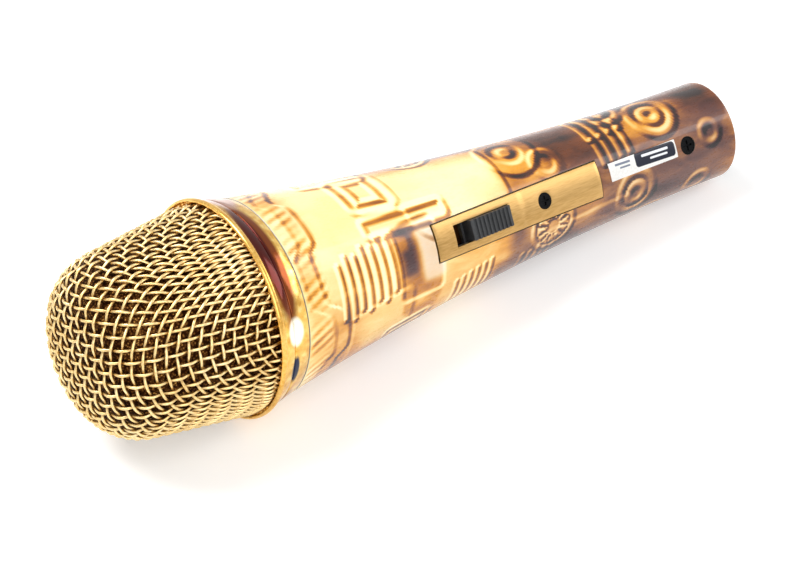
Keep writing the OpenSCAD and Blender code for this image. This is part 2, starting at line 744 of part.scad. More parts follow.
module ground_spring() {
    low = spring_s + fit_gap;
    top = stop_s - fit_gap;
    shelf = top - spring_t;
    r = spring_face;
    leg = spring_leg;
    color(brass) lay() rotate([90, 0, 0]) linear_extrude(spring_w, center = true) polygon([
        [spring_t - r, low], [-r, low + spring_lead], [-r, top], [-leg, top], [-leg, lug_end_s],
        [spring_t - leg, lug_end_s], [spring_t - leg, shelf], [spring_t - r, shelf],
    ]);
}

module insert_screw() {
    seat = body_r(lock_s) - lock_head_h;
    face = body_r(lock_s) - lock_recess;
    color(black) lay() difference() {
        union() {
            radial_bar(lock_head_d / 2, seat, face, lock_s);
            radial_bar(lock_shank_d / 2, socket_r - screw_bite, seat + screw_join, lock_s);
        }
        cross_slot(face, lock_head_d, lock_s);
    }
}

module shock_ring() {
    outer = neck_r - ring_gap;
    inner = capsule_d / 2 + ring_gap;
    lip = ledge_r - 1.5;
    top = neck_top + 0.2;
    color(rubber) lay() lathe([
        [lip, ledge_s], [outer, ledge_s], [outer, top], [inner, top],
        [inner, capsule_s], [lip, capsule_s],
    ]);
}

module capsule_housing() {
    r = capsule_d / 2;
    bore = yoke_d / 2 + fit_gap;
    vent = 3;
    color(black) lay() lathe([
        [vent, capsule_s], [r, capsule_s], [r, cap_s], [chamber_r, cap_s], [chamber_r, yoke_top],
        [bore, yoke_top], [bore, capsule_s + capsule_floor], [vent, capsule_s + capsule_floor],
    ]);
}

module terminal_board() {
    color(board_brown) lay() difference() {
        disc(board_r, capsule_s - board_t, capsule_s);
        for (x = [-board_lug_x, board_lug_x])
            block([x - lug_w / 2 - fit_gap, -lug_t / 2 - fit_gap, 0],
                [x + lug_w / 2 + fit_gap, lug_t / 2 + fit_gap, big]);
    }
}

module capsule_terminals() {
    top = capsule_s - fit_gap;
    color(brass) lay() for (x = [-board_lug_x, board_lug_x])
        block([x - lug_w / 2, -lug_t / 2, top - board_t - lug_len], [x + lug_w / 2, lug_t / 2, top]);
}

module magnet_yoke() {
    r = yoke_d / 2;
    color(steel) lay() lathe([
        [0, yoke_s], [r, yoke_s], [r, yoke_top], [r - yoke_wall, yoke_top],
        [r - yoke_wall, yoke_s + yoke_floor], [0, yoke_s + yoke_floor],
    ]);
}

module magnet() {
    color(magnet_grey) lay() disc(magnet_d / 2, magnet_s, pole_s - fit_gap);
}

module pole_plate() {
    color(steel) lay() disc(pole_d / 2, pole_s, yoke_top);
}

module voice_coil() {
    top = diaphragm_s - fit_gap;
    color(copper) lay() ring(coil_d / 2 - coil_t / 2, coil_d / 2 + coil_t / 2, top - coil_len, top);
}

// Flat rim and a shallow dome, one skin of even height
module diaphragm() {
    dome = [for (i = [0:arc_steps]) let (r = dome_edge_r * (1 - i / arc_steps))
        [r, diaphragm_s + dome_h * (1 - pow(r / dome_edge_r, 2))]];
    color(film) lay() lathe(concat(
        [[diaphragm_d / 2, diaphragm_s + diaphragm_t], [diaphragm_d / 2, diaphragm_s]],
        dome,
        [for (p = backwards(dome)) p + [0, diaphragm_t]]
    ));
}

module diaphragm_clamp() {
    width = 1.6;
    height = 1.2;
    color(brass) lay() ring(diaphragm_d / 2 - width, chamber_r - fit_gap, clamp_s, clamp_s + height);
}

module capsule_felt() {
    color(felt_red) lay() disc(chamber_r - fit_gap, cap_s - felt_t, cap_s);
}

module capsule_cap() {
    hole_share = 0.62;
    hole_circle = chamber_r * hole_share;
    color(black) lay() difference() {
        disc(capsule_d / 2, cap_s, capsule_top);
        disc(cap_hole_d / 2, cap_s - over, big);
        for (i = [0:cap_holes - 1]) rotate([0, 0, 360 * i / cap_holes])
            translate([hole_circle, 0, 0]) disc(cap_hole_d / 2, cap_s - over, big);
    }
}

// Smooth curve through hand-chosen points: each stretch is a cubic with the neighbours' slopes.
function slope(p, i) = (p[min(i + 1, len(p) - 1)] - p[max(i - 1, 0)]) / 2;
function stretch(a, b, ta, tb, u) =
    (2 * u * u * u - 3 * u * u + 1) * a + (u * u * u - 2 * u * u + u) * ta
    + (3 * u * u - 2 * u * u * u) * b + (u * u * u - u * u) * tb;
function curve(p) = concat(
    [for (i = [0:len(p) - 2]) for (j = [0:route_steps - 1])
        stretch(p[i], p[i + 1], slope(p, i), slope(p, i + 1), j / route_steps)],
    [p[len(p) - 1]]
);
function unit(v) = v / norm(v);

// Round wire along a curve; no route runs across the switch side, so y is never its direction.
module wire(route) {
    p = curve(route);
    n = len(p);
    rings = [for (i = [0:n - 1])
        let (t = unit(slope(p, i)), u = unit(cross(t, [0, 1, 0])), v = cross(t, u))
        for (k = [0:wire_sides - 1])
            p[i] + wire_d / 2 * (cos(360 * k / wire_sides) * u + sin(360 * k / wire_sides) * v)];
    sides = [for (i = [0:n - 2]) for (k = [0:wire_sides - 1])
        let (next = (k + 1) % wire_sides, a = i * wire_sides, b = a + wire_sides)
        [a + next, a + k, b + k, b + next]];
    first = [for (k = [0:wire_sides - 1]) k];
    last = [for (k = [wire_sides - 1:-1:0]) (n - 1) * wire_sides + k];
    polyhedron(points = rings, faces = concat(sides, [first], [last]));
}

module lead_capsule_hot() {
    color(wire_red) lay() wire(route_capsule_hot);
}

module lead_capsule_return() {
    color(white) lay() wire(route_capsule_return);
}

module lead_pin_hot() {
    color(wire_red) lay() wire(route_pin_hot);
}

module lead_pin_return() {
    color(white) lay() wire(route_pin_return);
}

module lead_ground() {
    color(wire_green) lay() wire(route_ground);
}

module grille_collar() {
    bore = thread_d / 2 + thread_gap;
    start = seam_s + seam_gap;
    groove = start + band_len;
    rear = seam_d / 2;
    lean = (collar_front_r - rear) / collar_len;
    color(gold) lay() lathe([
        [bore, start], [rear, start],
        [rear + lean * (groove - seam_s), groove],
        [rear + lean * (groove - seam_s) - band_groove, groove + band_groove / 2],
        [rear + lean * (groove + band_groove - seam_s), groove + band_groove],
        [collar_front_r, flange_s], [bore, flange_s],
    ]);
}

// Rounded rim with an inner ledge; the mesh stands on the ledge, inside the rim.
module grille_flange() {
    outer = flange_arc_r;
    inner = dome_side(mesh_s, mesh_t) - liner_t - clamp_t - 2 * fit_gap;
    top = flange_s + flange_len;
    seat_r = mesh_base_d / 2 + fit_gap;
    color(pale_gold) lay() lathe(concat(
        [[inner, flange_s]],
        [for (i = [0:arc_steps]) let (t = 90 * i / arc_steps)
            [outer + flange_edge_r * sin(t), flange_s + flange_edge_r * (1 - cos(t))]],
        [for (i = [0:arc_steps]) let (t = 90 * i / arc_steps)
            [outer + flange_edge_r * cos(t), top - flange_edge_r * (1 - sin(t))]],
        [[seat_r, top], [seat_r, mesh_s], [inner, mesh_s]]
    ));
}

// Floor of one hollow: the cell's corners drawn in toward its middle and sunk square to the cell
function hollow(c) =
    let (middle = (c[0] + c[1] + c[2] + c[3]) / 4, out = unit(cross(c[3] - c[1], c[2] - c[0])))
    [for (corner = c) corner + (middle - corner) * net_inset - out * net_h];

// Dome of crossing wire ridges with a flat hollow in each cell, over a smooth inner skin
module grille_mesh() {
    skin = crossings(0);
    last = ring_first(net_rings);
    around = ring_count(net_rings);
    inner = len(skin);
    floors = [for (c = net_cells) each hollow([for (i = c) skin[i]])];
    ridges = [
        for (n = [0:len(net_cells) - 1])
            let (c = net_cells[n], f = 2 * inner + 4 * n)
            for (i = [0:3])
                let (j = (i + 1) % 4)
                each [[c[i], c[j], f + i], [c[j], f + j, f + i]]
    ];
    beds = [for (n = [0:len(net_cells) - 1]) let (f = 2 * inner + 4 * n)
        each [[f, f + 1, f + 2], [f, f + 2, f + 3]]];
    lining = [for (c = net_cells) each [
        [inner + c[0], inner + c[2], inner + c[1]], [inner + c[0], inner + c[3], inner + c[2]]
    ]];
    rim = [for (p = [0:around - 1]) let (a = last + p, b = last + (p + 1) % around)
        each [[a, b, inner + a], [b, inner + b, inner + a]]];
    color(pale_gold) lay() polyhedron(
        concat(skin, crossings(mesh_t - net_sag), floors), concat(ridges, beds, lining, rim)
    );
}

module grille_liner() {
    low = mesh_low;
    outer = mesh_t + fit_gap;
    color(gauze_brown) lay()
        lathe(concat(dome_outline(low, outer), backwards(dome_outline(low, outer + liner_t))));
}

module grille_clamp() {
    low = mesh_low;
    outer = mesh_t + liner_t + 2 * fit_gap;
    top = low + clamp_h;
    color(steel) lay() lathe([
        [dome_side(low, outer), low], [dome_side(top, outer), top],
        [dome_side(top, outer + clamp_t), top], [dome_side(low, outer + clamp_t), low],
    ]);
}

module foam_windscreen() {
    low = mesh_low + clamp_h + soft_gap;
    outer = mesh_t + liner_t + fit_gap + soft_gap;
    color(foam_brown) lay()
        lathe(concat(dome_outline(low, outer), backwards(dome_outline(low, outer + foam_t))));
}

handle_body();
label_badge();
switch_plate();
plate_screw();
switch_bracket();
bracket_screws();
switch_housing();
switch_base();
switch_terminals();
switch_slider();
switch_contact();
xlr_insert();
contact_pin(1);  // contact_pin_1
contact_pin(2);  // contact_pin_2
contact_pin(3);  // contact_pin_3
ground_spring();
insert_screw();
shock_ring();
capsule_housing();
terminal_board();
capsule_terminals();
magnet_yoke();
magnet();
pole_plate();
voice_coil();
diaphragm();
diaphragm_clamp();
capsule_felt();
capsule_cap();
lead_capsule_hot();
lead_capsule_return();
lead_pin_hot();
lead_pin_return();
lead_ground();
grille_collar();
grille_flange();
grille_mesh();
grille_liner();
grille_clamp();
foam_windscreen();
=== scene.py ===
# Handheld karaoke microphone lying on its side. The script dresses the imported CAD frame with
# woven wire on the grille, a printed and lacquered handle and bevelled metal trim, and sets up
# the floor, light and camera.
# Points are worked out in millimetres on the microphone's own axis: x toward the switch, y across
# it and z the distance from the tail face. place() takes them into the frame, in metres.
import json
import math

import bpy
import numpy as np
from mathutils import Matrix, Vector


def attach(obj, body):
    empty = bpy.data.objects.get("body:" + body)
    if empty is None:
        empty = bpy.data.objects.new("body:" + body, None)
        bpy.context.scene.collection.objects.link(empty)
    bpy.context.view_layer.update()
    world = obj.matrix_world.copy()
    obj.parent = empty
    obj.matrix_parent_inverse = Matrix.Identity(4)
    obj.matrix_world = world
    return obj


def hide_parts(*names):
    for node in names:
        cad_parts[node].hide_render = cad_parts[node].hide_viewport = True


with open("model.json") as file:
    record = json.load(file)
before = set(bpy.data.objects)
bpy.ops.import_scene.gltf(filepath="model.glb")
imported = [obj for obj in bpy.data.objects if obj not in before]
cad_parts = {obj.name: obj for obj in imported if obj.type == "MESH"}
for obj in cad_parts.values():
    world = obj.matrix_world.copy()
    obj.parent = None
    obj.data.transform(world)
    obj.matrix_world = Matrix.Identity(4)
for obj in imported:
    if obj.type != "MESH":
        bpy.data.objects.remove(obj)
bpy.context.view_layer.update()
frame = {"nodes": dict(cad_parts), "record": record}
nodes = frame["nodes"]
slotOf = {part["node"]: part["material_slot"] for part in frame["record"]["subparts"]}
print("frame loaded")

# How the microphone lies: angles in degrees and places in millimetres, as in the CAD source
pose = {"tilt": 5.48715, "switchUp": 31.4, "middle": 94.53665, "lift": 12.48785}


# Turning matrix about x, y or z, from the cosine and sine of the angle
def turning(axis, degrees):
    return np.array(Matrix.Rotation(math.radians(degrees), 3, "XYZ"[axis]))


layTurn = turning(1, pose["tilt"] - 90) @ turning(2, pose["switchUp"] - 90)
layOrigin = np.array([pose["middle"], 0, pose["lift"]])


# Axis points in millimetres to frame points in metres: turned, moved and divided by 1000
def place(points):
    return (np.asarray(points, float) @ layTurn.T + layOrigin) / 1000


# The way back: a mesh's points on the microphone's axis, in millimetres
def axisPoints(piece):
    co = np.empty(len(piece.data.vertices) * 3)
    piece.data.vertices.foreach_get("co", co)
    return (co.reshape(-1, 3) * 1000 - layOrigin) @ layTurn


# 0 below low, 1 above high and 3t^2 - 2t^3 between them
def ease(low, high, value):
    t = np.clip((value - low) / (high - low), 0, 1)
    return t * t * (3 - 2 * t)


# Mesh object from whole arrays; faces is a list of index arrays with three or more columns each
def addPiece(name, points, faces, body, materials, node=None, slot=None, sharp=35):
    mesh = bpy.data.meshes.new(name)
    mesh.vertices.add(len(points))
    mesh.vertices.foreach_set("co", place(points).ravel())
    counts = np.concatenate([np.full(len(f), f.shape[1]) for f in faces])
    loops = np.concatenate([f.ravel() for f in faces])
    mesh.loops.add(len(loops))
    mesh.loops.foreach_set("vertex_index", loops)
    mesh.polygons.add(len(counts))
    mesh.polygons.foreach_set("loop_start", np.concatenate([[0], np.cumsum(counts)[:-1]]))
    mesh.update(calc_edges=True)
    mesh.validate()
    for material in materials:
        mesh.materials.append(material)
    mesh.shade_smooth()
    mesh.set_sharp_from_angle(angle=math.radians(sharp))
    piece = bpy.data.objects.new(name, mesh)
    bpy.context.scene.collection.objects.link(piece)
    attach(piece, body)
    if node:
        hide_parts(node)
    return piece


# Values kept on the points of a piece, for its material to read
def store(piece, values):
    for name, value in values.items():
        layer = piece.data.attributes.new(name, "FLOAT", "POINT")
        layer.data.foreach_set("value", np.asarray(value, np.float32))


# Quads over a block of rows x columns points, each between a point and the next of both
def gridFaces(rows, columns, closedRows=False, closedColumns=False, start=0):
    i = np.arange(rows if closedRows else rows - 1)
    j = np.arange(columns if closedColumns else columns - 1)
    i, j = [a.ravel() for a in np.meshgrid(i, j, indexing="ij")]
    k, m = (i + 1) % rows, (j + 1) % columns
    corners = [i * columns + j, i * columns + m, k * columns + m, k * columns + j]
    return start + np.stack(corners, 1)


# A closed form's faces, turned where the volume that they enclose comes out less than 0
def outward(points, faces):
    p = np.asarray(points)
    volume = 0
    for f in faces:
        for k in range(1, f.shape[1] - 1):
            a, b, c = p[f[:, 0]], p[f[:, k]], p[f[:, k + 1]]
            volume += np.einsum("ij,ij->i", a, np.cross(b, c)).sum()
    return faces if volume > 0 else [f[:, ::-1] for f in faces]


# The piece's mesh less the cutter's, taken over from a boolean modifier
def cutOut(piece, cutter):
    modifier = piece.modifiers.new("cut", "BOOLEAN")
    modifier.object = cutter
    modifier.operation = "DIFFERENCE"
    modifier.solver = "EXACT"
    bpy.context.view_layer.update()
    graph = bpy.context.evaluated_depsgraph_get()
    made = bpy.data.meshes.new_from_object(piece.evaluated_get(graph))
    piece.modifiers.clear()
    piece.data = made
    bpy.data.objects.remove(cutter)


# A hex sRGB colour as linear light: c / 12.92 near black, else ((c + 0.055) / 1.055) ^ 2.4
def linear(code):
    parts = [int(code[i : i + 2], 16) / 255 for i in (1, 3, 5)]
    return (*[c / 12.92 if c <= 0.04045 else ((c + 0.055) / 1.055) ** 2.4 for c in parts], 1)


# Adds a node with its settings, links or sets its inputs, and gives back one output, or the node
# where it has none. A hex colour is turned to linear, and stops are the (place, colour) pairs of
# a colour ramp, whose first and last take the two bands that it starts with.
def addNode(tree, kind, inputs, output=0, stops=(), **settings):
    node = tree.nodes.new("ShaderNode" + kind)
    for key, value in settings.items():
        setattr(node, key, value)
    for key, value in inputs.items():
        if isinstance(value, bpy.types.NodeSocket):
            tree.links.new(value, node.inputs[key])
        else:
            node.inputs[key].default_value = linear(value) if isinstance(value, str) else value
    for k, (where, colour) in enumerate([*stops[:1], *stops[-1:], *stops[1:-1]]):
        band = node.color_ramp.elements
        element = band[k] if k < 2 else band.new(where)
        element.position = where
        element.color = linear(colour)
    return node.outputs[output] if node.outputs else node


metal = {"Metallic": 1.0}


# Material with one surface shader, whose constants stand on the shader's own sockets
def newMaterial(name, constants):
    material = bpy.data.materials.new(name)
    material.use_nodes = True
    tree = material.node_tree
    tree.nodes.clear()
    surface = addNode(tree, "BsdfPrincipled", constants)
    addNode(tree, "OutputMaterial", {"Surface": surface})
    return material, tree, surface.node


# Object coordinates turned on to the microphone's axis, in millimetres, by one Mapping node:
# scaled by 1000, turned by the inverse of how it lies, and moved
def onAxis(tree, extraTurn=0.0):
    back = turning(0, extraTurn) @ layTurn.T
    values = {
        "Vector": addNode(tree, "TexCoord", {}, "Object"),
        "Scale": (1000, 1000, 1000),
        "Rotation": Matrix(back.tolist()).to_euler(),
        "Location": -back @ layOrigin,
    }
    return addNode(tree, "Mapping", values)


print("helpers ready")

# Camera place in metres, its direction in degrees, lens and sensor in millimetres, and the
# nearest distance that it shows
view = {
    "place": (-0.3803, -0.5031, 0.5187),
    "azimuth": -36.89,
    "elevation": 39.02,
    "lens": 149.74,
    "sensor": 36,
    "nearest": 0.01,
}


# Camera whose back vector is (sin a cos e, -cos a cos e, sin e) for azimuth a and elevation e
def setCamera():
    a, e = math.radians(view["azimuth"]), math.radians(view["elevation"])
    back = Vector((math.sin(a) * math.cos(e), -math.cos(a) * math.cos(e), math.sin(e)))
    data = bpy.data.cameras.new("camera")
    data.lens = view["lens"]
    data.sensor_width = view["sensor"]
    data.clip_start = view["nearest"]
    camera = bpy.data.objects.new("camera", data)
    camera.location = view["place"]
    camera.rotation_euler = back.to_track_quat("Z", "Y").to_euler()
    bpy.context.scene.collection.objects.link(camera)
    bpy.context.scene.camera = camera


# Soft boxes as name, place, aim, size and power, then the floor in metres and its glow to the
# eye, and the room's strength: full up to the first height of rise, ceiling's share at the second
studio = {
    "boxes": [
        ("keyLight", (-0.40, 0.42, 0.95), (-0.02, 0, 0.02), 0.6, 10.8),
        ("frontLight", (-0.35, -1.05, 0.95), (0, 0, 0.02), 1.3, 10.8),
        ("sideLight", (0.95, -0.35, 0.45), (0, 0, 0.02), 0.5, 3.0),
    ],
    "floorSize": 1.0,
    "floorDrop": 0.0001,
    "floor": "#f4f4f4",
    "floorGlow": 0.34,
    "room": 0.68,
    "ceiling": 0.4,
    "rise": (0.05, 0.6),
}


# 1 on camera, glossy and transmission rays and 0 on others: the sum of the three, held at 1
def seenRays(tree):
    seen = addNode(tree, "LightPath", {}, "Is Camera Ray")
    for ray in ("Is Glossy Ray", "Is Transmission Ray"):
        more = addNode(tree, "LightPath", {}, ray)
        seen = addNode(tree, "Math", {0: seen, 1: more}, use_clamp=True)
    return seen


# Floor quad, soft boxes, and a room that is bright at eye height and darker overhead
def setStage():
    size = studio["floorSize"]
    mesh = bpy.data.meshes.new("floor")
    square = [(-size, -size), (size, -size), (size, size), (-size, size)]
    mesh.from_pydata([(x, y, -studio["floorDrop"]) for x, y in square], [], [(0, 1, 2, 3)])
    # matt paper sweep: the eye gets a plain pale ground that keeps the shadow
    flat = {"Roughness": 0.9, "Specular IOR Level": 0.1}
    colours = {"Base Color": studio["floor"], "Emission Color": "#ffffff"}
    material, tree, paper = newMaterial("matt paper", {**flat, **colours})
    glow = {0: seenRays(tree), 1: studio["floorGlow"]}
    glow = addNode(tree, "Math", glow, operation="MULTIPLY")
    tree.links.new(glow, paper.inputs["Emission Strength"])
    mesh.materials.append(material)
    floor = bpy.data.objects.new("floor", mesh)
    bpy.context.scene.collection.objects.link(floor)

    world = bpy.data.worlds.new("room")
    bpy.context.scene.world = world
    world.use_nodes = True
    tree = world.node_tree
    tree.nodes.clear()
    height = addNode(tree, "SeparateXYZ", {0: addNode(tree, "TexCoord", {}, "Generated")}, 2)
    low, high = studio["rise"]
    level = addNode(tree, "MapRange", {0: height, 1: low, 2: high, 3: 1.0, 4: studio["ceiling"]})
    room = addNode(tree, "Background", {0: level, 1: studio["room"]})
    white = addNode(tree, "Background", {0: "#ffffff", 1: 1.0})
    both = addNode(tree, "MixShader", {0: seenRays(tree), 1: room, 2: white})
    addNode(tree, "OutputWorld", {0: both})

    for name, where, aim, size, power in studio["boxes"]:
        data = bpy.data.lights.new(name, "AREA")
        data.shape = "SQUARE"
        data.size = size
        data.energy = power
        box = bpy.data.objects.new(name, data)
        box.location = where
        box.rotation_euler = (Vector(where) - Vector(aim)).to_track_quat("Z", "Y").to_euler()
        bpy.context.scene.collection.objects.link(box)


bpy.context.scene.view_settings.view_transform = "Standard"
setCamera()
setStage()
print("camera, floor and light placed")

# Sizes of the shell in millimetres, as in the CAD source. Bores are (radius, distance from the
# tail) in order; thread gives where the groove starts, is full, begins to fade and is gone, and
# threadLand the part of a pitch that it falls over. The print covers what lies near the skin,
# and the tail's edge outside printedEdge.
handle = {
    "tailRadius": 12.6,
    "seamRadius": 24.4,
    "length": 142,
    "wall": 2.4,
    "edge": 0.6,
    "seamEdge": 0.12,
    "neck": 21,
    "neckTop": 149,
    "thread": (142.5, 143.3, 148.0, 148.6),
    "threadPitch": 1.25,
    "threadDepth": 0.55,
    "threadLand": (0.25, 0.8),
    "threadMargin": 0.3,
    "neckBore": [(20.8, 149), (19, 149), (19, 138), (15, 138), (15, 136)],
    "cavity": (136, 22),
    "tailBore": [(8.4, 22), (8.4, 20), (9.5, 20), (9.5, 13), (9.5, 6), (9.5, 0.3), (9.8, 0)],
    "printedEdge": 11.2,
    "near": 0.06,
    # how closely it is divided: edge points, skin rows' step, rows in a pitch, cavity rows, sides
    "edgeRows": 5,
    "rowStep": 0.55,
    "pitchRows": 7,
    "cavityRows": 20,
    "sides": 272,
}
flare = (handle["seamRadius"] - handle["tailRadius"]) / handle["length"] ** 2


# Radius of the skin: the tail's plus flare times the square of the distance from the tail
def bodyRadius(z):
    return handle["tailRadius"] + flare * z**2


# The switch and its plate in millimetres; seat is the plate cutter's floor and top about the
# skin, and window holds two corners of the cutter for the slider's opening
switch = {
    "middle": 84.6,
    "plateStart": 45.5,
    "plateEnd": 99.6,
    "plateWidth": 9.1,
    "gap": 0.3,
    "proud": 0.32,
    "seat": (-1.05, 1.0),
    "seatRows": (60, 9),
    "window": ((-10, -4.11, -14.15), (1.5, 4.11, 14.15)),
}
# Distances from the tail of the two screws, and their bores: radius, depth and inner and outer end
screws = {
    "plate": 64.1,
    "plateHole": 1.25,
    "plateSpan": (10, 17),
    "lock": 15.9,
    "lockHead": 2.35,
    "lockDepth": 1,
    "lockHole": 1.55,
    "lockSpan": (8, 20),
    "overlap": 0.5,
}
# The skin's height and slope at the middle of the switch
switchRadius = bodyRadius(switch["middle"]) + switch["proud"]
switchTilt = math.degrees(math.atan(2 * flare * switch["middle"]))


# Closed patch of skin between two heights: x is the root of radius^2 - y^2
def skinSlab(zValues, yValues, low, high):
    z, y = np.meshgrid(zValues, yValues, indexing="ij")
    radii = [bodyRadius(z) + height for height in (high, low)]
    layers = [np.stack([np.sqrt(r**2 - y * y), y, z], -1).reshape(-1, 3) for r in radii]
    rows, columns = z.shape
    index = np.arange(z.size).reshape(rows, columns)
    rim = np.concatenate([index[0, :-1], index[:-1, -1], index[-1, :0:-1], index[:0:-1, 0]])
    after = np.roll(rim, -1)
    sides = np.stack([rim, after, after + z.size, rim + z.size], 1)[:, ::-1]
    under = gridFaces(rows, columns, start=z.size)[:, ::-1]
    return np.concatenate(layers), [gridFaces(rows, columns), under, sides]


# Closed round bar along x: two circles about (y, z) = (0, z)
def roundBar(radius, inner, outer, z, sides=48):
    angle = np.arange(sides) * 2 * math.pi / sides
    circle = [radius * np.cos(angle), z + radius * np.sin(angle)]
    ring = [np.stack([0 * angle + x, *circle], 1) for x in (inner, outer)]
    caps = [np.arange(sides)[None, :], np.arange(2 * sides - 1, sides - 1, -1)[None, :]]
    return np.concatenate(ring), [gridFaces(2, sides, closedColumns=True), *caps]


# Box between two corners, tilted with the skin at the switch's window and moved there
def switchBlock(low, high):
    points = np.stack(np.meshgrid(*zip(low, high), indexing="ij"), -1).reshape(-1, 3)
    points = points @ turning(1, switchTilt).T + np.array([switchRadius, 0, switch["middle"]])
    quads = [[0, 1, 3, 2], [4, 6, 7, 5], [0, 4, 5, 1], [2, 3, 7, 6], [0, 2, 6, 4], [1, 5, 7, 3]]
    return points, [np.array(quads)]


# Closed outline of the shell as (radius, distance): tail arc, skin, seam, thread, bores, cavity
def handleOutline():
    h, edge = handle, handle["edge"]
    angle = np.linspace(0, math.pi / 2, h["edgeRows"], endpoint=False)
    tail = [bodyRadius(edge) - edge * (1 - np.sin(angle)), edge * (1 - np.cos(angle))]
    z = np.linspace(edge, h["length"] - h["seamEdge"], int(h["length"] / h["rowStep"]))
    skin = [bodyRadius(z), z]
    seam = [(h["seamRadius"] - h["seamEdge"], h["length"]), (h["neck"], h["length"])]
    ends = (h["length"] + h["threadMargin"], h["neckTop"] - h["threadMargin"])
    z = np.arange(*ends, h["threadPitch"] / h["pitchRows"])
    thread = [0 * z + h["neck"], z]
    z = np.linspace(*h["cavity"], h["cavityRows"])
    cavity = [bodyRadius(z) - h["wall"], z]
    parts = [np.stack(tail, 1), np.stack(skin, 1), seam, np.stack(thread, 1)]
    return np.concatenate([*parts, h["neckBore"], np.stack(cavity, 1), h["tailBore"]])


# Outline turned about the axis: x = r cos, y = r sin; on the neck the radius drops by a groove
# whose place follows distance / pitch - turn, so it winds as a screw thread
def handleForm():
    h = handle
    outline = handleOutline()
    angle = np.arange(h["sides"]) * 2 * math.pi / h["sides"]
    r, z = [np.repeat(outline[:, k : k + 1], h["sides"], 1) for k in (0, 1)]
    phase = np.abs((z / h["threadPitch"] - angle / (2 * math.pi)) % 1 - 0.5) * 2
    start, full, fading, gone = h["thread"]
    fade = ease(start, full, z) * (1 - ease(fading, gone, z))
    fade *= np.abs(r - h["neck"]) < h["near"]
    r -= h["threadDepth"] * ease(*h["threadLand"], phase) * fade
    points = np.stack([r * np.cos(angle), r * np.sin(angle), z], 2).reshape(-1, 3)
    return points, outward(points, [gridFaces(len(outline), h["sides"], True, True)])


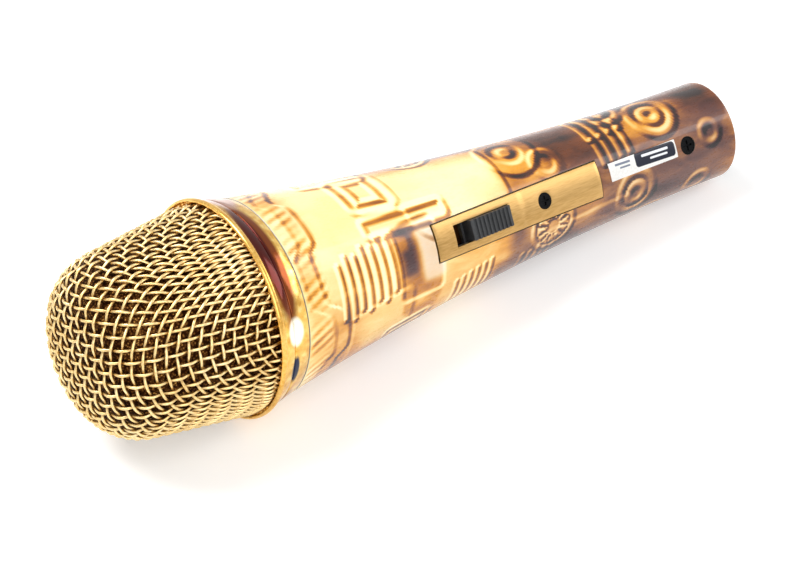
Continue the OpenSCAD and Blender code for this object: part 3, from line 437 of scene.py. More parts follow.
# The print on the shell is a generic ornament of raised gold: stepped plates, reeds, frames,
# petals and rings, in degrees and millimetres. Its light runs along the axis and round it; edges
# that face away from it are darker by shade, and edges that face it paler by shine.
printing = {
    "light": (0.5, 0.85),
    "slope": 0.15,  # distance over which the slope is taken
    "crisp": 1.8,  # how fast an edge takes the full light, which limit holds
    "limit": 1.1,
    "bevel": 0.85,  # half an edge's width, then the share of it on reeds and petals
    "fineBevels": (0.75, 0.7),
    "shade": 0.5,
    "shine": 0.36,
    "paleShine": 0.35,  # share of shine on the palest tone
    "raisedGlow": 0.04,  # how much paler the raised forms are
    "ground": (0.08, 0.5, 60, 76),  # tone at the head, rise to the tail, and where it rises
    "cloud": (0.03, 0.11, 2),  # tone's swell, and its turns along and round the skin
    "corner": 0.6,  # rounding of a colour field over its smaller half side
    # border near the head: distance, waves of (reach, steepness, number, turn), then the ledge
    # behind it as (distance, height) and the fringe as (distance, half length, softness, height)
    "step": 132.6,
    "waves": [(2.2, 3, 2, 0.5), (1.5, 4, 5, 1)],
    "ledge": (4.4, 0.5),
    "fringe": (138, 2.6, 1.5, 0.13),
    "threads": (58, 0.9, 7),  # number of lines in the fringe, their slant, and its swells
    "reedCut": (0.16, 0.12),  # every other reed's shortening, and the slant of reed ends
    "petalShape": (0.32, 0.7, 1.5),  # ray's half width, rim's half stroke and gap
    "plates": [  # degrees, distance, half width, half length, rounding, height
        (56, 89, 17, 16, 8, 0.9),
        (-6, 105, 9.5, 6.6, 1.5, -1.0),
        (-48, 118, 9, 10, 2, 0.5),
        (170, 92, 20, 15, 7, 0.9),
        (-118, 108, 11, 9, 2, -0.9),
        (118, 118, 10, 12, 3, 0.6),
        (-62, 50, 8, 16, 4, 0.5),
        (130, 40, 8, 14, 4, 0.6),
        (-140, 46, 9, 15, 5, 0.6),
    ],
    "rounds": [  # degrees, distance, radii, stroke, height
        (60, 67, (0, 6.2), 2.0, 1.0),
        (34, 59, (3.6,), 1.2, 0.8),
        (50, 22, (2.2, 6.0), 1.15, 1.0),
        (88, 34, (3.0, 6.6), 1.1, 0.9),
        (-32, 34, (2.6, 5.6), 1.0, 0.7),
        (-55, 12, (3.2,), 1.0, 0.7),
        (6, 8, (2.6,), 0.9, 0.6),
        (150, 66, (0, 6.4), 2.0, 1.0),
        (-165, 20, (2.4, 6.0), 1.1, 1.0),
        (-110, 70, (3.4, 7.0), 1.2, 0.9),
        (-95, 26, (2.8, 6.0), 1.1, 0.8),
    ],
    "reeds": [  # degrees, distance, pitch, count, half length, stroke, height
        (-4, 122, 2.7, 7, 7.5, 0.72, 1.0),
        (-50, 88, 2.3, 6, 4.2, 0.6, 0.8),
        (68, 38, 3.4, 4, 5.2, 0.95, 1.0),
        (30, 38, 3.0, 4, 3.4, 0.85, 0.9),
        (-150, 122, 2.7, 8, 8.5, 0.72, 1.0),
        (-60, 66, 2.6, 5, 4.0, 0.7, 0.6),
        (176, 42, 3.2, 5, 5.0, 0.9, 1.0),
        (-100, 128, 2.6, 5, 6.0, 0.7, 0.9),
    ],
    "frames": [  # degrees, distance, half width, half length, insets, rounding, stroke, height
        (58, 112, 7.4, 6.6, (0.0, 3.4), 2.6, 0.85, 1.0),
        (88, 116, 5.0, 9.0, (0.0,), 1.4, 0.8, 0.9),
        (26, 106, 2.2, 12.5, (0.0,), 1.2, 0.8, 1.0),
        (-70, 108, 5.2, 7.0, (0.0, 2.6), 1.6, 0.7, 0.8),
        (150, 112, 7.4, 6.4, (0.0, 3.2), 2.4, 0.85, 1.0),
        (-175, 66, 6.0, 5.0, (0.0, 2.6), 2.0, 0.8, 0.9),
    ],
    "petals": [  # degrees, distance, rays, inner, outer, height
        (100, 92, 12, 2.6, 5.8, 0.9),
        (-28, 62, 12, 2.2, 5.0, 0.7),
        (-130, 90, 14, 3.0, 6.6, 0.9),
        (120, 20, 12, 2.2, 4.8, 0.9),
    ],
    # colour fields: degrees, distance, half width, half length, softness, tone, blush, share
    "fields": [
        (40, 61, 30, 11, 5, 0.55, 0.0, 0.9),
        (60, 52, 18, 6, 3.5, 0.93, 0.0, 0.95),
        (60, 67, 9, 6.5, 2.5, 0.45, 0.0, 0.9),
        (62, 30, 15, 15, 5, 0.52, 0.0, 0.9),
        (30, 44, 6, 9, 3, 0.86, 0.1, 0.8),
        (85, 7, 14, 5.5, 3, 0.97, 0.0, 0.95),
        (12, 9, 7, 8, 4, 0.72, 0.8, 0.9),
        (-45, 44, 16, 42, 7, 0.62, 0.75, 0.92),
        (-30, 20, 8, 10, 5, 0.80, 0.85, 0.7),
        (-42, 70, 6, 12, 4, 0.74, 0.7, 0.7),
        (-24, 58, 5, 12, 4, 0.42, 0.4, 0.7),
        (108, 60, 9, 50, 6, 0.84, 0.7, 0.9),
        (-48, 88, 10, 7, 3, 0.22, 0.05, 0.9),
        (-28, 86, 4.5, 10, 2.5, 0.33, 0.0, 0.8),
        (-55, 112, 13, 24, 7, 0.27, 0.12, 0.85),
        (-52, 131, 16, 6, 5, 0.50, 0.25, 0.7),
        (-80, 118, 7, 22, 5, 0.62, 0.45, 0.8),
        (-14, 105, 12.5, 6.2, 0.7, 0.42, 0.1, 0.95),
        (-2, 101.5, 7.5, 3.4, 1.4, 0.06, 1.0, 0.95),
        (2, 108.2, 6, 2.2, 1.6, 0.80, 0.9, 0.9),
        (9, 109.5, 1.8, 1.6, 0.8, 0.5, 0.0, 0.9),
        (75, 138, 16, 5, 4, 0.36, 0.5, 0.8),
        (12, 139, 24, 2.8, 2.5, 0.34, 0.0, 0.85),
        (36, 140, 7, 2.5, 2.0, 0.12, 0.3, 0.8),
        (180, 55, 24, 14, 6, 0.60, 0.0, 0.9),
        (-165, 22, 24, 18, 8, 0.70, 0.3, 0.9),
        (150, 30, 12, 16, 5, 0.9, 0.1, 0.8),
        (-110, 104, 12, 8, 2, 0.45, 0.7, 0.9),
        (-100, 55, 14, 20, 6, 0.78, 0.8, 0.85),
    ],
    # tones from cream to near black, as plain gold and as blush
    "gold": [
        (0.0, "#fff6cc"),
        (0.10, "#fdeba8"),
        (0.24, "#f6d07e"),
        (0.40, "#e8a232"),
        (0.56, "#bf7412"),
        (0.74, "#74390a"),
        (1.0, "#200802"),
    ],
    "warm": [
        (0.0, "#f2e8e2"),
        (0.2, "#e9c9a0"),
        (0.45, "#b58455"),
        (0.68, "#704c42"),
        (0.85, "#432e34"),
        (1.0, "#170a0e"),
    ],
}


# Distances in millimetres of points from a place: round the skin, turn x radius, and along it
def about(z, angle, degrees, middle):
    turn = (angle - math.radians(degrees) + math.pi) % (2 * math.pi) - math.pi
    return turn * bodyRadius(z), z - middle


# Distance into a rounded rectangle: rounding less the length of what lies past its inner corner,
# or, where nothing does, plus the distance to the nearest side
def boxField(u, v, halfU, halfV, rounding):
    a, b = np.abs(u) - halfU + rounding, np.abs(v) - halfV + rounding
    past = np.hypot(np.maximum(a, 0), np.maximum(b, 0))
    return rounding - past - np.minimum(np.maximum(a, b), 0)


# Height of the ornament: each form gives height x ease of its distance field over its bevel
def reliefAt(z, angle):
    b = printing["bevel"]
    fineReed, finePetal = [b * share for share in printing["fineBevels"]]
    step = printing["step"]
    for reach, steep, number, turn in printing["waves"]:
        step = step + reach * np.tanh(steep * np.sin(number * angle + turn))
    behind, rise = printing["ledge"]
    height = rise * ease(-b, b, z - step - behind) - ease(-b, b, step - z)
    middle, half, soft, rise = printing["fringe"]
    number, slant, swells = printing["threads"]
    lines = np.sin(number * angle + slant * z) * np.cos(swells * angle)
    height += rise * ease(-soft, 0, half - np.abs(z - middle)) * lines
    for degrees, middle, halfU, halfV, rounding, rise in printing["plates"]:
        u, v = about(z, angle, degrees, middle)
        height += rise * ease(-b, b, boxField(u, v, halfU, halfV, rounding))
    for degrees, middle, radii, stroke, rise in printing["rounds"]:
        reach = np.hypot(*about(z, angle, degrees, middle))
        field = np.max([stroke - np.abs(reach - r) for r in radii], 0)
        height += rise * ease(-b, b, field)
    shorter, slant = printing["reedCut"]
    for degrees, middle, pitch, count, half, stroke, rise in printing["reeds"]:
        u, v = about(z, angle, degrees, middle)
        k = np.clip(np.round(v / pitch + (count - 1) / 2), 0, count - 1) - (count - 1) / 2
        reach = half * (1 - shorter * (np.round(k) % 2))
        field = stroke - np.hypot(v - k * pitch, np.maximum(np.abs(u + slant * v) - reach, 0))
        height += rise * ease(-fineReed, fineReed, field)
    for degrees, middle, halfU, halfV, insets, rounding, stroke, rise in printing["frames"]:
        inside = boxField(*about(z, angle, degrees, middle), halfU, halfV, rounding)
        height += rise * ease(-b, b, np.max([stroke - np.abs(inside - k) for k in insets], 0))
    width, stroke, gap = printing["petalShape"]
    for degrees, middle, rays, inner, outer, rise in printing["petals"]:
        u, v = about(z, angle, degrees, middle)
        reach, turn = np.hypot(u, v), 2 * math.pi / rays
        side = np.abs((np.arctan2(v, u) + turn / 2) % turn - turn / 2) * reach
        ray = np.minimum(width * reach * turn - side, np.minimum(reach - inner, outer - reach))
        field = np.maximum(ray, stroke - np.abs(reach - outer - gap))
        height += rise * ease(-finePetal, finePetal, field)
    return height


# tone runs from 0, cream, to 1, near black: the field's own tone, less shine or plus shade times
# the slope of the ornament against its light. blush is the share of purple and copper.
def printValues(points):
    z, angle = points[:, 2], np.arctan2(points[:, 1], points[:, 0])
    head, rise, start, end = printing["ground"]
    swell, lengthwise, crosswise = printing["cloud"]
    tone = head + rise * (1 - ease(start, end, z))
    tone += swell * np.sin(z * lengthwise + crosswise * angle)
    blush = np.zeros(len(z))
    for degrees, middle, halfU, halfV, soft, target, red, share in printing["fields"]:
        corner = min(halfU, halfV) * printing["corner"]
        field = boxField(*about(z, angle, degrees, middle), halfU, halfV, corner)
        mask = share * ease(-soft, soft, field)
        tone += (target - tone) * mask
        blush += (red - blush) * mask
    delta = printing["slope"]
    here = reliefAt(z, angle)
    along = (reliefAt(z + delta, angle) - here) / delta
    around = (reliefAt(z, angle + delta / bodyRadius(z)) - here) / delta
    light = printing["light"]
    lit = -(light[0] * along + light[1] * around) / math.hypot(*light)
    lit = np.clip(printing["crisp"] * lit, -printing["limit"], printing["limit"])
    shade, shine = printing["shade"] * np.maximum(-lit, 0), printing["shine"] * np.maximum(lit, 0)
    tone += shade - shine * (printing["paleShine"] + tone)
    tone = np.clip(tone - printing["raisedGlow"] * here, 0, 1)
    return {"tone": tone, "blush": np.clip(blush, 0, 1)}


# Printed film under clear lacquer: the eye gets cream to mahogany gold with a hard wet gloss
def printMaterial():
    gloss = {"Coat Weight": 0.45, "Coat Roughness": 0.05, "Specular IOR Level": 0.25}
    material, tree, film = newMaterial("printed film under lacquer", gloss)
    long = addNode(tree, "VectorMath", {0: onAxis(tree), 1: (1, 1, 0.4)}, operation="MULTIPLY")
    swirl = {"Vector": long, "Scale": 0.19, "Detail": 3.0, "Distortion": 0.6}
    streak = addNode(tree, "TexNoise", swirl)
    grain = addNode(tree, "TexNoise", {"Vector": long, "Scale": 1.7, "Detail": 3.0})
    tone = addNode(tree, "Attribute", {}, "Fac", attribute_name="tone")
    # broad streaks of 5 mm move the tone most where it is deep, fine grain of 0.6 mm everywhere
    sway = addNode(tree, "MapRange", {0: streak, 1: 0.3, 2: 0.7, 3: -0.14, 4: 0.14})
    deep = addNode(tree, "MapRange", {0: tone, 1: 0.1, 2: 0.5, 3: 0.15, 4: 1.0})
    fine = addNode(tree, "MapRange", {0: grain, 1: 0.3, 2: 0.7, 3: -0.02, 4: 0.02})
    tone = addNode(tree, "Math", {0: sway, 1: deep, 2: tone}, operation="MULTIPLY_ADD")
    tone = addNode(tree, "Math", {0: tone, 1: fine})
    gold = addNode(tree, "ValToRGB", {0: tone}, stops=printing["gold"])
    warm = addNode(tree, "ValToRGB", {0: tone}, stops=printing["warm"])
    blush = addNode(tree, "Attribute", {}, "Fac", attribute_name="blush")
    colour = addNode(tree, "Mix", {0: blush, 6: gold, 7: warm}, 2, data_type="RGBA")
    tree.links.new(colour, film.inputs["Base Color"])
    rough = addNode(tree, "MapRange", {0: grain, 1: 0.3, 2: 0.7, 3: 0.24, 4: 0.36})
    tree.links.new(rough, film.inputs["Roughness"])
    return material


# Two tones and a grain in millimetres, which also moves the roughness and the bump. stretch
# draws the grain out: 1 keeps it, and less makes it longer along x, y or z of the axis.
def grainMaterial(name, dark, light, rough, grain, raised, constants={}, stretch=(1, 1, 1)):
    material, tree, surface = newMaterial(name, constants)
    vector = addNode(tree, "VectorMath", {0: onAxis(tree), 1: stretch}, operation="MULTIPLY")
    fine = addNode(tree, "TexNoise", {"Vector": vector, "Scale": 1 / grain, "Detail": 4.0})
    broad = addNode(tree, "TexNoise", {"Vector": vector, "Scale": 0.12, "Detail": 2.0})
    tone = addNode(tree, "Mix", {0: 0.5, 2: fine, 3: broad})
    colour = addNode(tree, "ValToRGB", {0: tone}, stops=[(0.35, dark), (0.65, light)])
    tree.links.new(colour, surface.inputs["Base Color"])
    span = {0: fine, 1: 0.25, 2: 0.75, 3: rough[0], 4: rough[1]}
    tree.links.new(addNode(tree, "MapRange", span), surface.inputs["Roughness"])
    tilt = addNode(tree, "Bump", {"Height": fine, "Distance": raised / 1000, "Strength": 1.0})
    tree.links.new(tilt, surface.inputs["Normal"])
    return material


# The shell with its thread; the plate's seat, the window and the screws' bores are cut out, and
# faces whose points leave the printed skin get the bare metal
def makeHandle():
    h, w, s = handle, switch, screws
    points, faces = handleForm()
    # die-cast zinc, bare inside: the eye gets dull grey with a fine grain
    bare = grainMaterial("die cast zinc", "#8d8b84", "#a9a69c", (0.42, 0.6), 0.5, 0.02, metal)
    coats = [printMaterial(), bare]
    stands = ("handle_body", "printed_handle")
    piece = addPiece("handleShell", points, faces, "handle", coats, *stands)
    half = w["plateWidth"] / 2 + w["gap"]
    along = np.linspace(w["plateStart"] - w["gap"], w["plateEnd"] + w["gap"], w["seatRows"][0])
    across = np.linspace(-half, half, w["seatRows"][1])
    lockSeat = bodyRadius(s["lock"]) - s["lockDepth"]
    inner, outer = s["lockSpan"]
    cutters = [
        skinSlab(along, across, *w["seat"]),
        switchBlock(*w["window"]),
        roundBar(s["plateHole"], *s["plateSpan"], s["plate"]),
        roundBar(s["lockHead"], lockSeat, outer, s["lock"]),
        roundBar(s["lockHole"], inner, lockSeat + s["overlap"], s["lock"]),
    ]
    for k, (points, faces) in enumerate(cutters):
        cutOut(piece, addPiece(f"cutter{k}", points, outward(points, faces), "handle", []))
    mesh = piece.data
    local = axisPoints(piece)
    store(piece, printValues(local))
    # bare is what leaves the skin, but not the tail's rounded edge, and all above the seam
    r, z = np.hypot(local[:, 0], local[:, 1]), local[:, 2]
    off = np.abs(r - bodyRadius(z)) > h["near"]
    off &= ~((z < h["edge"]) & (r > h["printedEdge"]))
    off |= z > h["length"] + h["near"]
    loops = np.empty(len(mesh.loops), int)
    mesh.loops.foreach_get("vertex_index", loops)
    starts = np.empty(len(mesh.polygons), int)
    mesh.polygons.foreach_get("loop_start", starts)
    bareFaces = np.maximum.reduceat(off[loops].astype(int), starts)
    mesh.polygons.foreach_set("material_index", bareFaces)
    mesh.shade_smooth()
    mesh.set_sharp_from_angle(angle=math.radians(35))
    print("handle has", len(loops) - 2 * len(starts), "triangles")


makeHandle()
print("handle made")

# The dome in millimetres and degrees, as in the CAD source, then the weave: the real wire, how
# far it swings over and under, the depth of the middle, the net's pitch and turn, the lines each
# way and their reach in pitches. stretch and gather are explained at wirePath.
grille = {
    "base": 150.3,
    "baseRadius": 26.1,
    "taper": 7,
    "shoulder": 14,
    "crown": 65,
    "height": 40.5,
    "wire": 0.74,
    "wave": 0.36,
    "middle": 0.8,
    "pitch": 2.7,
    "turn": -13,
    "count": 19,
    "reach": 21.5,
    "samples": 6,
    "sides": 10,
    "stretch": (0.04, 0.35, 52),
    "gather": (0.5, 0.2, 8, 42),
    "rimGap": 0.1,
    "fewest": 5,
    "gold": [(0.3, "#d3ad6c"), (0.5, "#e6c98d"), (0.7, "#f4e0b4")],
    # brown of the painted shade where a wire dips under the wire that crosses it
    "crossing": "#6e4a1c",
}


# Dome at arc distance t from its tip: a crown arc, a tighter shoulder arc, then a leaning line.
# Gives the radius, the distance and the normal's angle from the axis.
def domeAt(t):
    g = grille
    lean = math.pi / 2 - math.radians(g["taper"])
    centre = g["base"] + g["height"] - g["crown"]
    offset = g["crown"] - g["shoulder"]
    reach = g["baseRadius"] * math.sin(lean) - g["shoulder"]
    reach -= (centre - g["base"]) * math.cos(lean)
    half = math.asin(reach / offset) - math.radians(g["taper"])
    crown = g["crown"] * half
    bend = crown + g["shoulder"] * (lean - half)
    a = np.clip(t / g["crown"], 0, half) + np.clip((t - crown) / g["shoulder"], 0, lean - half)
    on = t < crown
    arc = np.where(on, g["crown"], g["shoulder"])
    further = np.maximum(t - bend, 0)
    r = np.where(on, 0, offset * math.sin(half)) + arc * np.sin(a) + further * math.cos(lean)
    z = np.where(on, 0, offset * math.cos(half)) + arc * np.cos(a) - further * math.sin(lean)
    return r, centre + z, a


# One wire of a flat square net drawn over the dome. R and T are a place's length and direction
# on the net. The arc distance is R (1 + (low + more sin^2 2T) R / scale) and the turn is
# T + b sin 4T / 4 + second b sin 8T / 8, where b grows from 0 to first between start and end, so
# squares stay square on four lines and lean into diamonds between them.
def wirePath(line, swap):
    g = grille
    s = np.arange(-g["reach"], g["reach"] + 1e-9, 1 / g["samples"])
    x, y = (line + 0 * s, s) if swap else (s, line + 0 * s)
    reach, turn = g["pitch"] * np.hypot(x, y), np.arctan2(y, x)
    low, more, scale = g["stretch"]
    t = reach * (1 + (low + more * np.sin(2 * turn) ** 2) * reach / scale)
    first, second, start, end = g["gather"]
    b = first * ease(start, end, reach)
    turn = turn + b / 4 * np.sin(4 * turn) + second * b / 8 * np.sin(8 * turn)
    turn += math.radians(g["turn"])
    r, z, a = domeAt(t)
    normal = np.stack([np.sin(a) * np.cos(turn), np.sin(a) * np.sin(turn), np.cos(a)], 1)
    wave = np.cos(math.pi * s) * (-1) ** (line + swap)
    middle = np.stack([r * np.cos(turn), r * np.sin(turn), z], 1) - g["middle"] * normal
    return middle + (wave * g["wave"])[:, None] * normal, normal, wave


# All wires of one direction: a circle carried along each path, square to it, ended at the rim;
# the circle's two directions come from the path's step crossed with the dome's normal
def weaveWires(name, swap, material, node=None):
    g = grille
    points, quads, caps, waves = [], [], [], []
    total = 0
    turns = np.arange(g["sides"])
    angle = (turns * 2 * math.pi / g["sides"])[None, :, None]
    for line in range(-g["count"], g["count"] + 1):
        path, normal, wave = wirePath(line, swap)
        keep = np.flatnonzero(path[:, 2] > g["base"] + g["rimGap"])
        if len(keep) < g["fewest"]:
            continue
        part = slice(keep[0], keep[-1] + 1)
        path, normal, wave = path[part], normal[part], wave[part]
        tangent = np.gradient(path, axis=0)
        across = np.cross(tangent, normal)
        across /= np.linalg.norm(across, axis=1)[:, None]
        up = np.cross(across, tangent)
        up /= np.linalg.norm(up, axis=1)[:, None]
        ring = np.cos(angle) * up[:, None] + np.sin(angle) * across[:, None]
        points.append((path[:, None] + g["wire"] / 2 * ring).reshape(-1, 3))
        quads.append(gridFaces(len(path), g["sides"], closedColumns=True, start=total))
        end = total + (len(path) - 1) * g["sides"]
        caps += [total + turns[None, ::-1], end + turns[None, :]]
        waves.append(np.repeat(wave, g["sides"]))
        total += len(points[-1])
    points = np.concatenate(points)
    faces = outward(points, [np.concatenate(quads), np.concatenate(caps)])
    piece = addPiece(name, points, faces, "grille", [material], node, "woven_wire", sharp=60)
    store(piece, {"wave": np.concatenate(waves)})
    print(name, "has", 2 * total, "triangles")


# Drawn steel wire with a pale gold plate: the eye gets bright crests, and brown painted shade
# where a wire dips under the wire that crosses it
def wireMaterial():
    material, tree, wire = newMaterial("gold plated steel wire", metal)
    point = onAxis(tree)
    fine = addNode(tree, "TexNoise", {"Vector": point, "Scale": 2.2, "Detail": 3.0})
    broad = addNode(tree, "TexNoise", {"Vector": point, "Scale": 0.11, "Detail": 2.0})
    tone = addNode(tree, "Mix", {0: 0.4, 2: fine, 3: broad})
    gold = addNode(tree, "ValToRGB", {0: tone}, stops=grille["gold"])
    wave = addNode(tree, "Attribute", {}, "Fac", attribute_name="wave")
    # painted shade: 70 per cent brown at the wire's lowest dip, fading to none a little above its
    # middle
    low = addNode(tree, "MapRange", {0: wave, 1: -1.0, 2: 0.2, 3: 0.7, 4: 0.0})
    colour = addNode(tree, "Mix", {0: low, 6: gold, 7: grille["crossing"]}, 2, data_type="RGBA")
    tree.links.new(colour, wire.inputs["Base Color"])
    rough = addNode(tree, "MapRange", {0: fine, 1: 0.25, 2: 0.75, 3: 0.26, 4: 0.42})
    tree.links.new(rough, wire.inputs["Roughness"])
    tilt = addNode(tree, "Bump", {"Height": fine, "Distance": 0.00002, "Strength": 1.0})
    tree.links.new(tilt, wire.inputs["Normal"])
    return material


plated = wireMaterial()
weaveWires("weaveWarp", False, plated, "grille_mesh")
weaveWires("weaveWeft", True, plated)
print("weave made")


# Real gauze is 0.2 mm apart, too fine to show, so its cells are drawn at 0.6 mm
liner = {
    "cell": 0.6,
    "depth": 0.1,
    "tones": [(0.2, "#b98d4a"), (0.34, "#64401d"), (0.6, "#2c1407")],
}


# Fine brass gauze, browned: the eye gets a dark ground with gold flecks
def gauzeMaterial():
    material, tree, gauze = newMaterial("browned brass gauze", metal)
    point = onAxis(tree)
    cells = addNode(tree, "TexVoronoi", {"Vector": point, "Scale": 1 / liner["cell"]}, "Distance")
    broad = addNode(tree, "TexNoise", {"Vector": point, "Scale": 0.3, "Detail": 2.0})
    shade = addNode(tree, "Mix", {0: 0.3, 2: cells, 3: broad})
    colour = addNode(tree, "ValToRGB", {0: shade}, stops=liner["tones"])
    tree.links.new(colour, gauze.inputs["Base Color"])
    rough = addNode(tree, "MapRange", {0: cells, 3: 0.35, 4: 0.7})
    tree.links.new(rough, gauze.inputs["Roughness"])
    # the middle of a cell is its highest place, so the distance from it lowers the surface
    sink = {"Height": cells, "Distance": -liner["depth"] / 1000, "Strength": 1.0}
    tilt = addNode(tree, "Bump", sink)
    tree.links.new(tilt, gauze.inputs["Normal"])
    return material


# Collar's painted reflections: angle and half angle in degrees, distance and half length, colour
collar = {
    "gold": [(0.25, "#c88a2c"), (0.5, "#e2b458"), (0.75, "#f3d68a")],
    "soft": 0.72,
    "paintedReflections": [
        (30, 48, 147.0, 3.6, "#7a3a10"),
        (32, 36, 147.8, 2.0, "#4c1108"),
        (84, 22, 146.0, 4.0, "#b78f80"),
        (-15, 9, 146.2, 2.6, "#f7f0dc"),
        (-38, 10, 146.4, 1.3, "#17233f"),
        (-70, 16, 146.2, 3.0, "#a8701e"),
        (150, 46, 147.4, 2.6, "#6a2c0c"),
        (-130, 14, 146.2, 3.0, "#f7f0dc"),
    ],
}


# Gold plate under clear lacquer: the eye gets a bright band with a mahogany painted reflection
# above and white and navy painted reflections low down. A mark is full up to soft, and gone at 1,
# of the length of its two distances, each over its half size.
def collarMaterial():
    gloss = {**metal, "Coat Weight": 0.3, "Coat Roughness": 0.05}
    material, tree, band = newMaterial("gold plate with painted reflections", gloss)
    point = onAxis(tree)
    x, y, z = [addNode(tree, "SeparateXYZ", {0: point}, k) for k in (0, 1, 2)]
    angle = addNode(tree, "Math", {0: y, 1: x}, operation="ARCTAN2")
    angle = addNode(tree, "Math", {0: angle}, operation="DEGREES")
    noise = addNode(tree, "TexNoise", {"Vector": point, "Scale": 0.5, "Detail": 3.0})
    colour = addNode(tree, "ValToRGB", {0: noise}, stops=collar["gold"])
    # each mark is a painted reflection: a soft patch of its colour laid over the gold
    for middle, half, where, length, reflectionTint in collar["paintedReflections"]:
        turn = {0: angle, 1: middle - half, 2: middle + half, 3: -1.0, 4: 1.0}
        turn = addNode(tree, "MapRange", turn, clamp=False)
        along = {0: z, 1: where - length, 2: where + length, 3: -1.0, 4: 1.0}
        along = addNode(tree, "MapRange", along, clamp=False)
        both = addNode(tree, "CombineXYZ", {0: turn, 1: along})
        away = addNode(tree, "VectorMath", {0: both}, "Value", operation="LENGTH")
        share = addNode(tree, "MapRange", {0: away, 1: collar["soft"], 2: 1.0, 3: 1.0, 4: 0.0})
        colour = addNode(tree, "Mix", {0: share, 6: colour, 7: reflectionTint}, 2, data_type="RGBA")
    tree.links.new(colour, band.inputs["Base Color"])
    rough = addNode(tree, "MapRange", {0: noise, 1: 0.3, 2: 0.7, 3: 0.14, 4: 0.26})
    tree.links.new(rough, band.inputs["Roughness"])
    return material


# The label is turned a little about the axis. Its fields, in millimetres: distance from the tail
# and place across, half length, half width, rounding, ink; edge is half their border's softness
label = {
    "turn": 2,
    "edge": 0.05,
    "white": [(0.3, "#e6e4e0"), (0.7, "#f6f5f2")],
    "fields": [
        (26.9, 0.0, 6.6, 1.85, 0.9, "#0a1026"),
        (26.9, 0.62, 4.4, 0.32, 0.3, "#eef0f4"),
        (25.8, -0.55, 2.9, 0.26, 0.25, "#eef0f4"),
        (37.6, 0.45, 2.5, 0.28, 0.25, "#717a8c"),
        (37.0, -0.55, 1.7, 0.22, 0.2, "#717a8c"),
    ],
}


# Screen printed badge under gloss lacquer: the eye gets a white strip, a navy field on it and
# level bars where such a badge has its lettering. A field is where the length of what lies past
# its inner corner stays below its rounding.
def labelMaterial():
    gloss = {"Coat Weight": 0.15, "Coat Roughness": 0.06, "Specular IOR Level": 0.3}
    material, tree, badge = newMaterial("screen printed badge", gloss)
    point = onAxis(tree, label["turn"])
    y, z = [addNode(tree, "SeparateXYZ", {0: point}, k) for k in (1, 2)]
    flat = addNode(tree, "CombineXYZ", {0: z, 1: y})
    grain = addNode(tree, "TexNoise", {"Vector": point, "Scale": 2.0, "Detail": 3.0})
    colour = addNode(tree, "ValToRGB", {0: grain}, stops=label["white"])
    for along, across, length, width, rounding, ink in label["fields"]:
        middle = (along, across, 0)
        reach = addNode(tree, "VectorMath", {0: flat, 1: middle}, operation="SUBTRACT")
        reach = addNode(tree, "VectorMath", {0: reach}, operation="ABSOLUTE")
        inner = (length - rounding, width - rounding, 0)
        reach = addNode(tree, "VectorMath", {0: reach, 1: inner}, operation="SUBTRACT")
        reach = addNode(tree, "VectorMath", {0: reach, 1: (0, 0, 0)}, operation="MAXIMUM")
        reach = addNode(tree, "VectorMath", {0: reach}, "Value", operation="LENGTH")
        low, high = rounding - label["edge"], rounding + label["edge"]
        inside = addNode(tree, "MapRange", {0: reach, 1: low, 2: high, 3: 1.0, 4: 0.0})
        colour = addNode(tree, "Mix", {0: inside, 6: colour, 7: ink}, 2, data_type="RGBA")
    tree.links.new(colour, badge.inputs["Base Color"])
    rough = addNode(tree, "MapRange", {0: grain, 3: 0.25, 4: 0.4})
    tree.links.new(rough, badge.inputs["Roughness"])
    return material


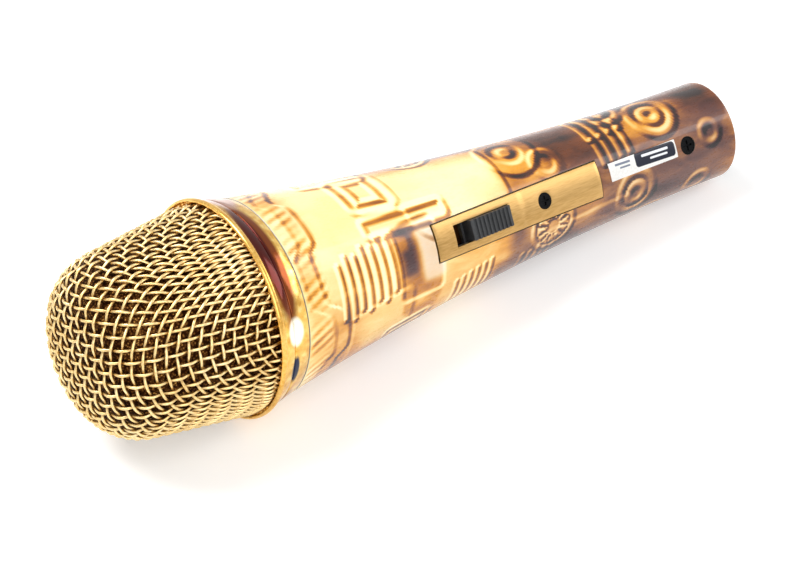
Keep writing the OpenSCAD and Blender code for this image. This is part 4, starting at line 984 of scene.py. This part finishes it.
# Finishes of the CAD nodes by slot: name, two tones, roughness from and to, grain and its height
# in millimetres, shader constants, stretch. Each note says what the eye gets.
finishes = {
    # satin gold, brushed lengthwise: soft long streaks
    "satin_gold": (
        "brushed satin gold", "#a17c44", "#c6a066", (0.3, 0.45), 0.35, 0.012, metal, (1, 1, 0.08)
    ),
    # bright gold with faint ripples
    "gold_rim": ("polished gold", "#d59b3c", "#f0c878", (0.12, 0.25), 0.8, 0.005, metal),
    # near black, with a grey sheen on the edges
    "black_screw": ("blackened steel", "#0f0f10", "#232324", (0.35, 0.55), 0.4, 0.02, metal),
    # charcoal, softly shiny
    "slider_plastic": ("moulded ABS", "#161719", "#2b2c2f", (0.35, 0.5), 0.35, 0.03),
    # near black and matt
    "black_housing": ("moulded nylon", "#131313", "#212121", (0.45, 0.6), 0.4, 0.03),
    # near black with a speckle of fibres
    "insert_plastic": ("glass filled nylon", "#141415", "#242426", (0.4, 0.6), 0.4, 0.03),
    # dark grey and smooth
    "capsule_plastic": ("moulded polycarbonate", "#1a1a1c", "#2c2c2f", (0.4, 0.55), 0.5, 0.02),
    # pale grey metal with short streaks
    "plain_steel": (
        "zinc plated steel", "#a9a9a6", "#c9c8c2", (0.3, 0.45), 0.3, 0.01, metal, (1, 1, 0.2)
    ),
    # mid grey metal with short streaks
    "yoke_steel": (
        "turned steel", "#8f8f8c", "#b3b2ad", (0.3, 0.45), 0.3, 0.01, metal, (1, 1, 0.2)
    ),
    # dull dark grey with a coarse grain
    "magnet_metal": ("sintered magnet", "#58585a", "#77777a", (0.4, 0.6), 0.4, 0.03, metal),
    # yellow metal, softly shiny
    "terminal_brass": ("stamped brass", "#b58d3d", "#d8b565", (0.25, 0.4), 0.4, 0.01, metal),
    # bright silver
    "contact_plating": ("nickel plate", "#c2c0ba", "#dedcd6", (0.12, 0.24), 0.5, 0.004, metal),
    # reddish turns of fine wire
    "coil_wire": (
        "enamelled copper", "#9a4a1e", "#c46a34", (0.25, 0.4), 0.25, 0.03, metal, (1, 1, 6)
    ),
    # brown and matt
    "board": ("phenolic board", "#5a3315", "#7c4a20", (0.5, 0.65), 0.6, 0.02),
    # black and dull
    "shock_rubber": ("moulded rubber", "#1a1a1a", "#2a2a2a", (0.65, 0.85), 0.5, 0.05),
    # pale yellow and glossy
    "film": ("polyester film", "#c9c4a6", "#dcd8bd", (0.2, 0.35), 0.8, 0.005),
    # dark red nap
    "felt": ("wool felt", "#4e1420", "#7a2634", (0.85, 0.98), 0.3, 0.15),
    # smooth coloured insulation
    "wire_red": ("red vinyl", "#8e1414", "#b02020", (0.35, 0.5), 0.6, 0.02),
    "wire_white": ("white vinyl", "#d9d7d0", "#efede6", (0.35, 0.5), 0.6, 0.02),
    "wire_green": ("green vinyl", "#12602a", "#1c8038", (0.35, 0.5), 0.6, 0.02),
    # brown open pores
    "windscreen_foam": ("open cell foam", "#241a12", "#4a3826", (0.9, 1.0), 0.8, 0.3),
}
# Width in millimetres of the rounding on the edges of each outer trim, and what every one of
# them shares: points nearer than weld metres are one, edges sharper than angle are rounded
bevels = {
    "switch_plate": 0.14,
    "switch_slider": 0.12,
    "plate_screw": 0.1,
    "insert_screw": 0.1,
    "label_badge": 0.1,
    "xlr_insert": 0.25,
    "grille_collar": 0.18,
    "grille_flange": 0.25,
}
rounding = {"weld": 0.000002, "segments": 2, "angle": 40}


# Each CAD node gets its slot's finish; outer trim is merged and bevelled by live modifiers
def dressNodes():
    made = {slot: grainMaterial(*values) for slot, values in finishes.items()}
    made["liner_gauze"] = gauzeMaterial()
    made["gold_collar"] = collarMaterial()
    made["label_lacquer"] = labelMaterial()
    for name, piece in nodes.items():
        if slotOf[name] not in made:
            continue
        if not piece.material_slots:
            piece.data.materials.append(None)
        for holder in piece.material_slots:
            holder.material = made[slotOf[name]]
    for name, width in bevels.items():
        weld = nodes[name].modifiers.new("weld", "WELD")
        weld.merge_threshold = rounding["weld"]
        bevel = nodes[name].modifiers.new("bevel", "BEVEL")
        bevel.width = width / 1000
        bevel.segments = rounding["segments"]
        bevel.limit_method = "ANGLE"
        bevel.angle_limit = math.radians(rounding["angle"])


dressNodes()
print("frame nodes dressed")
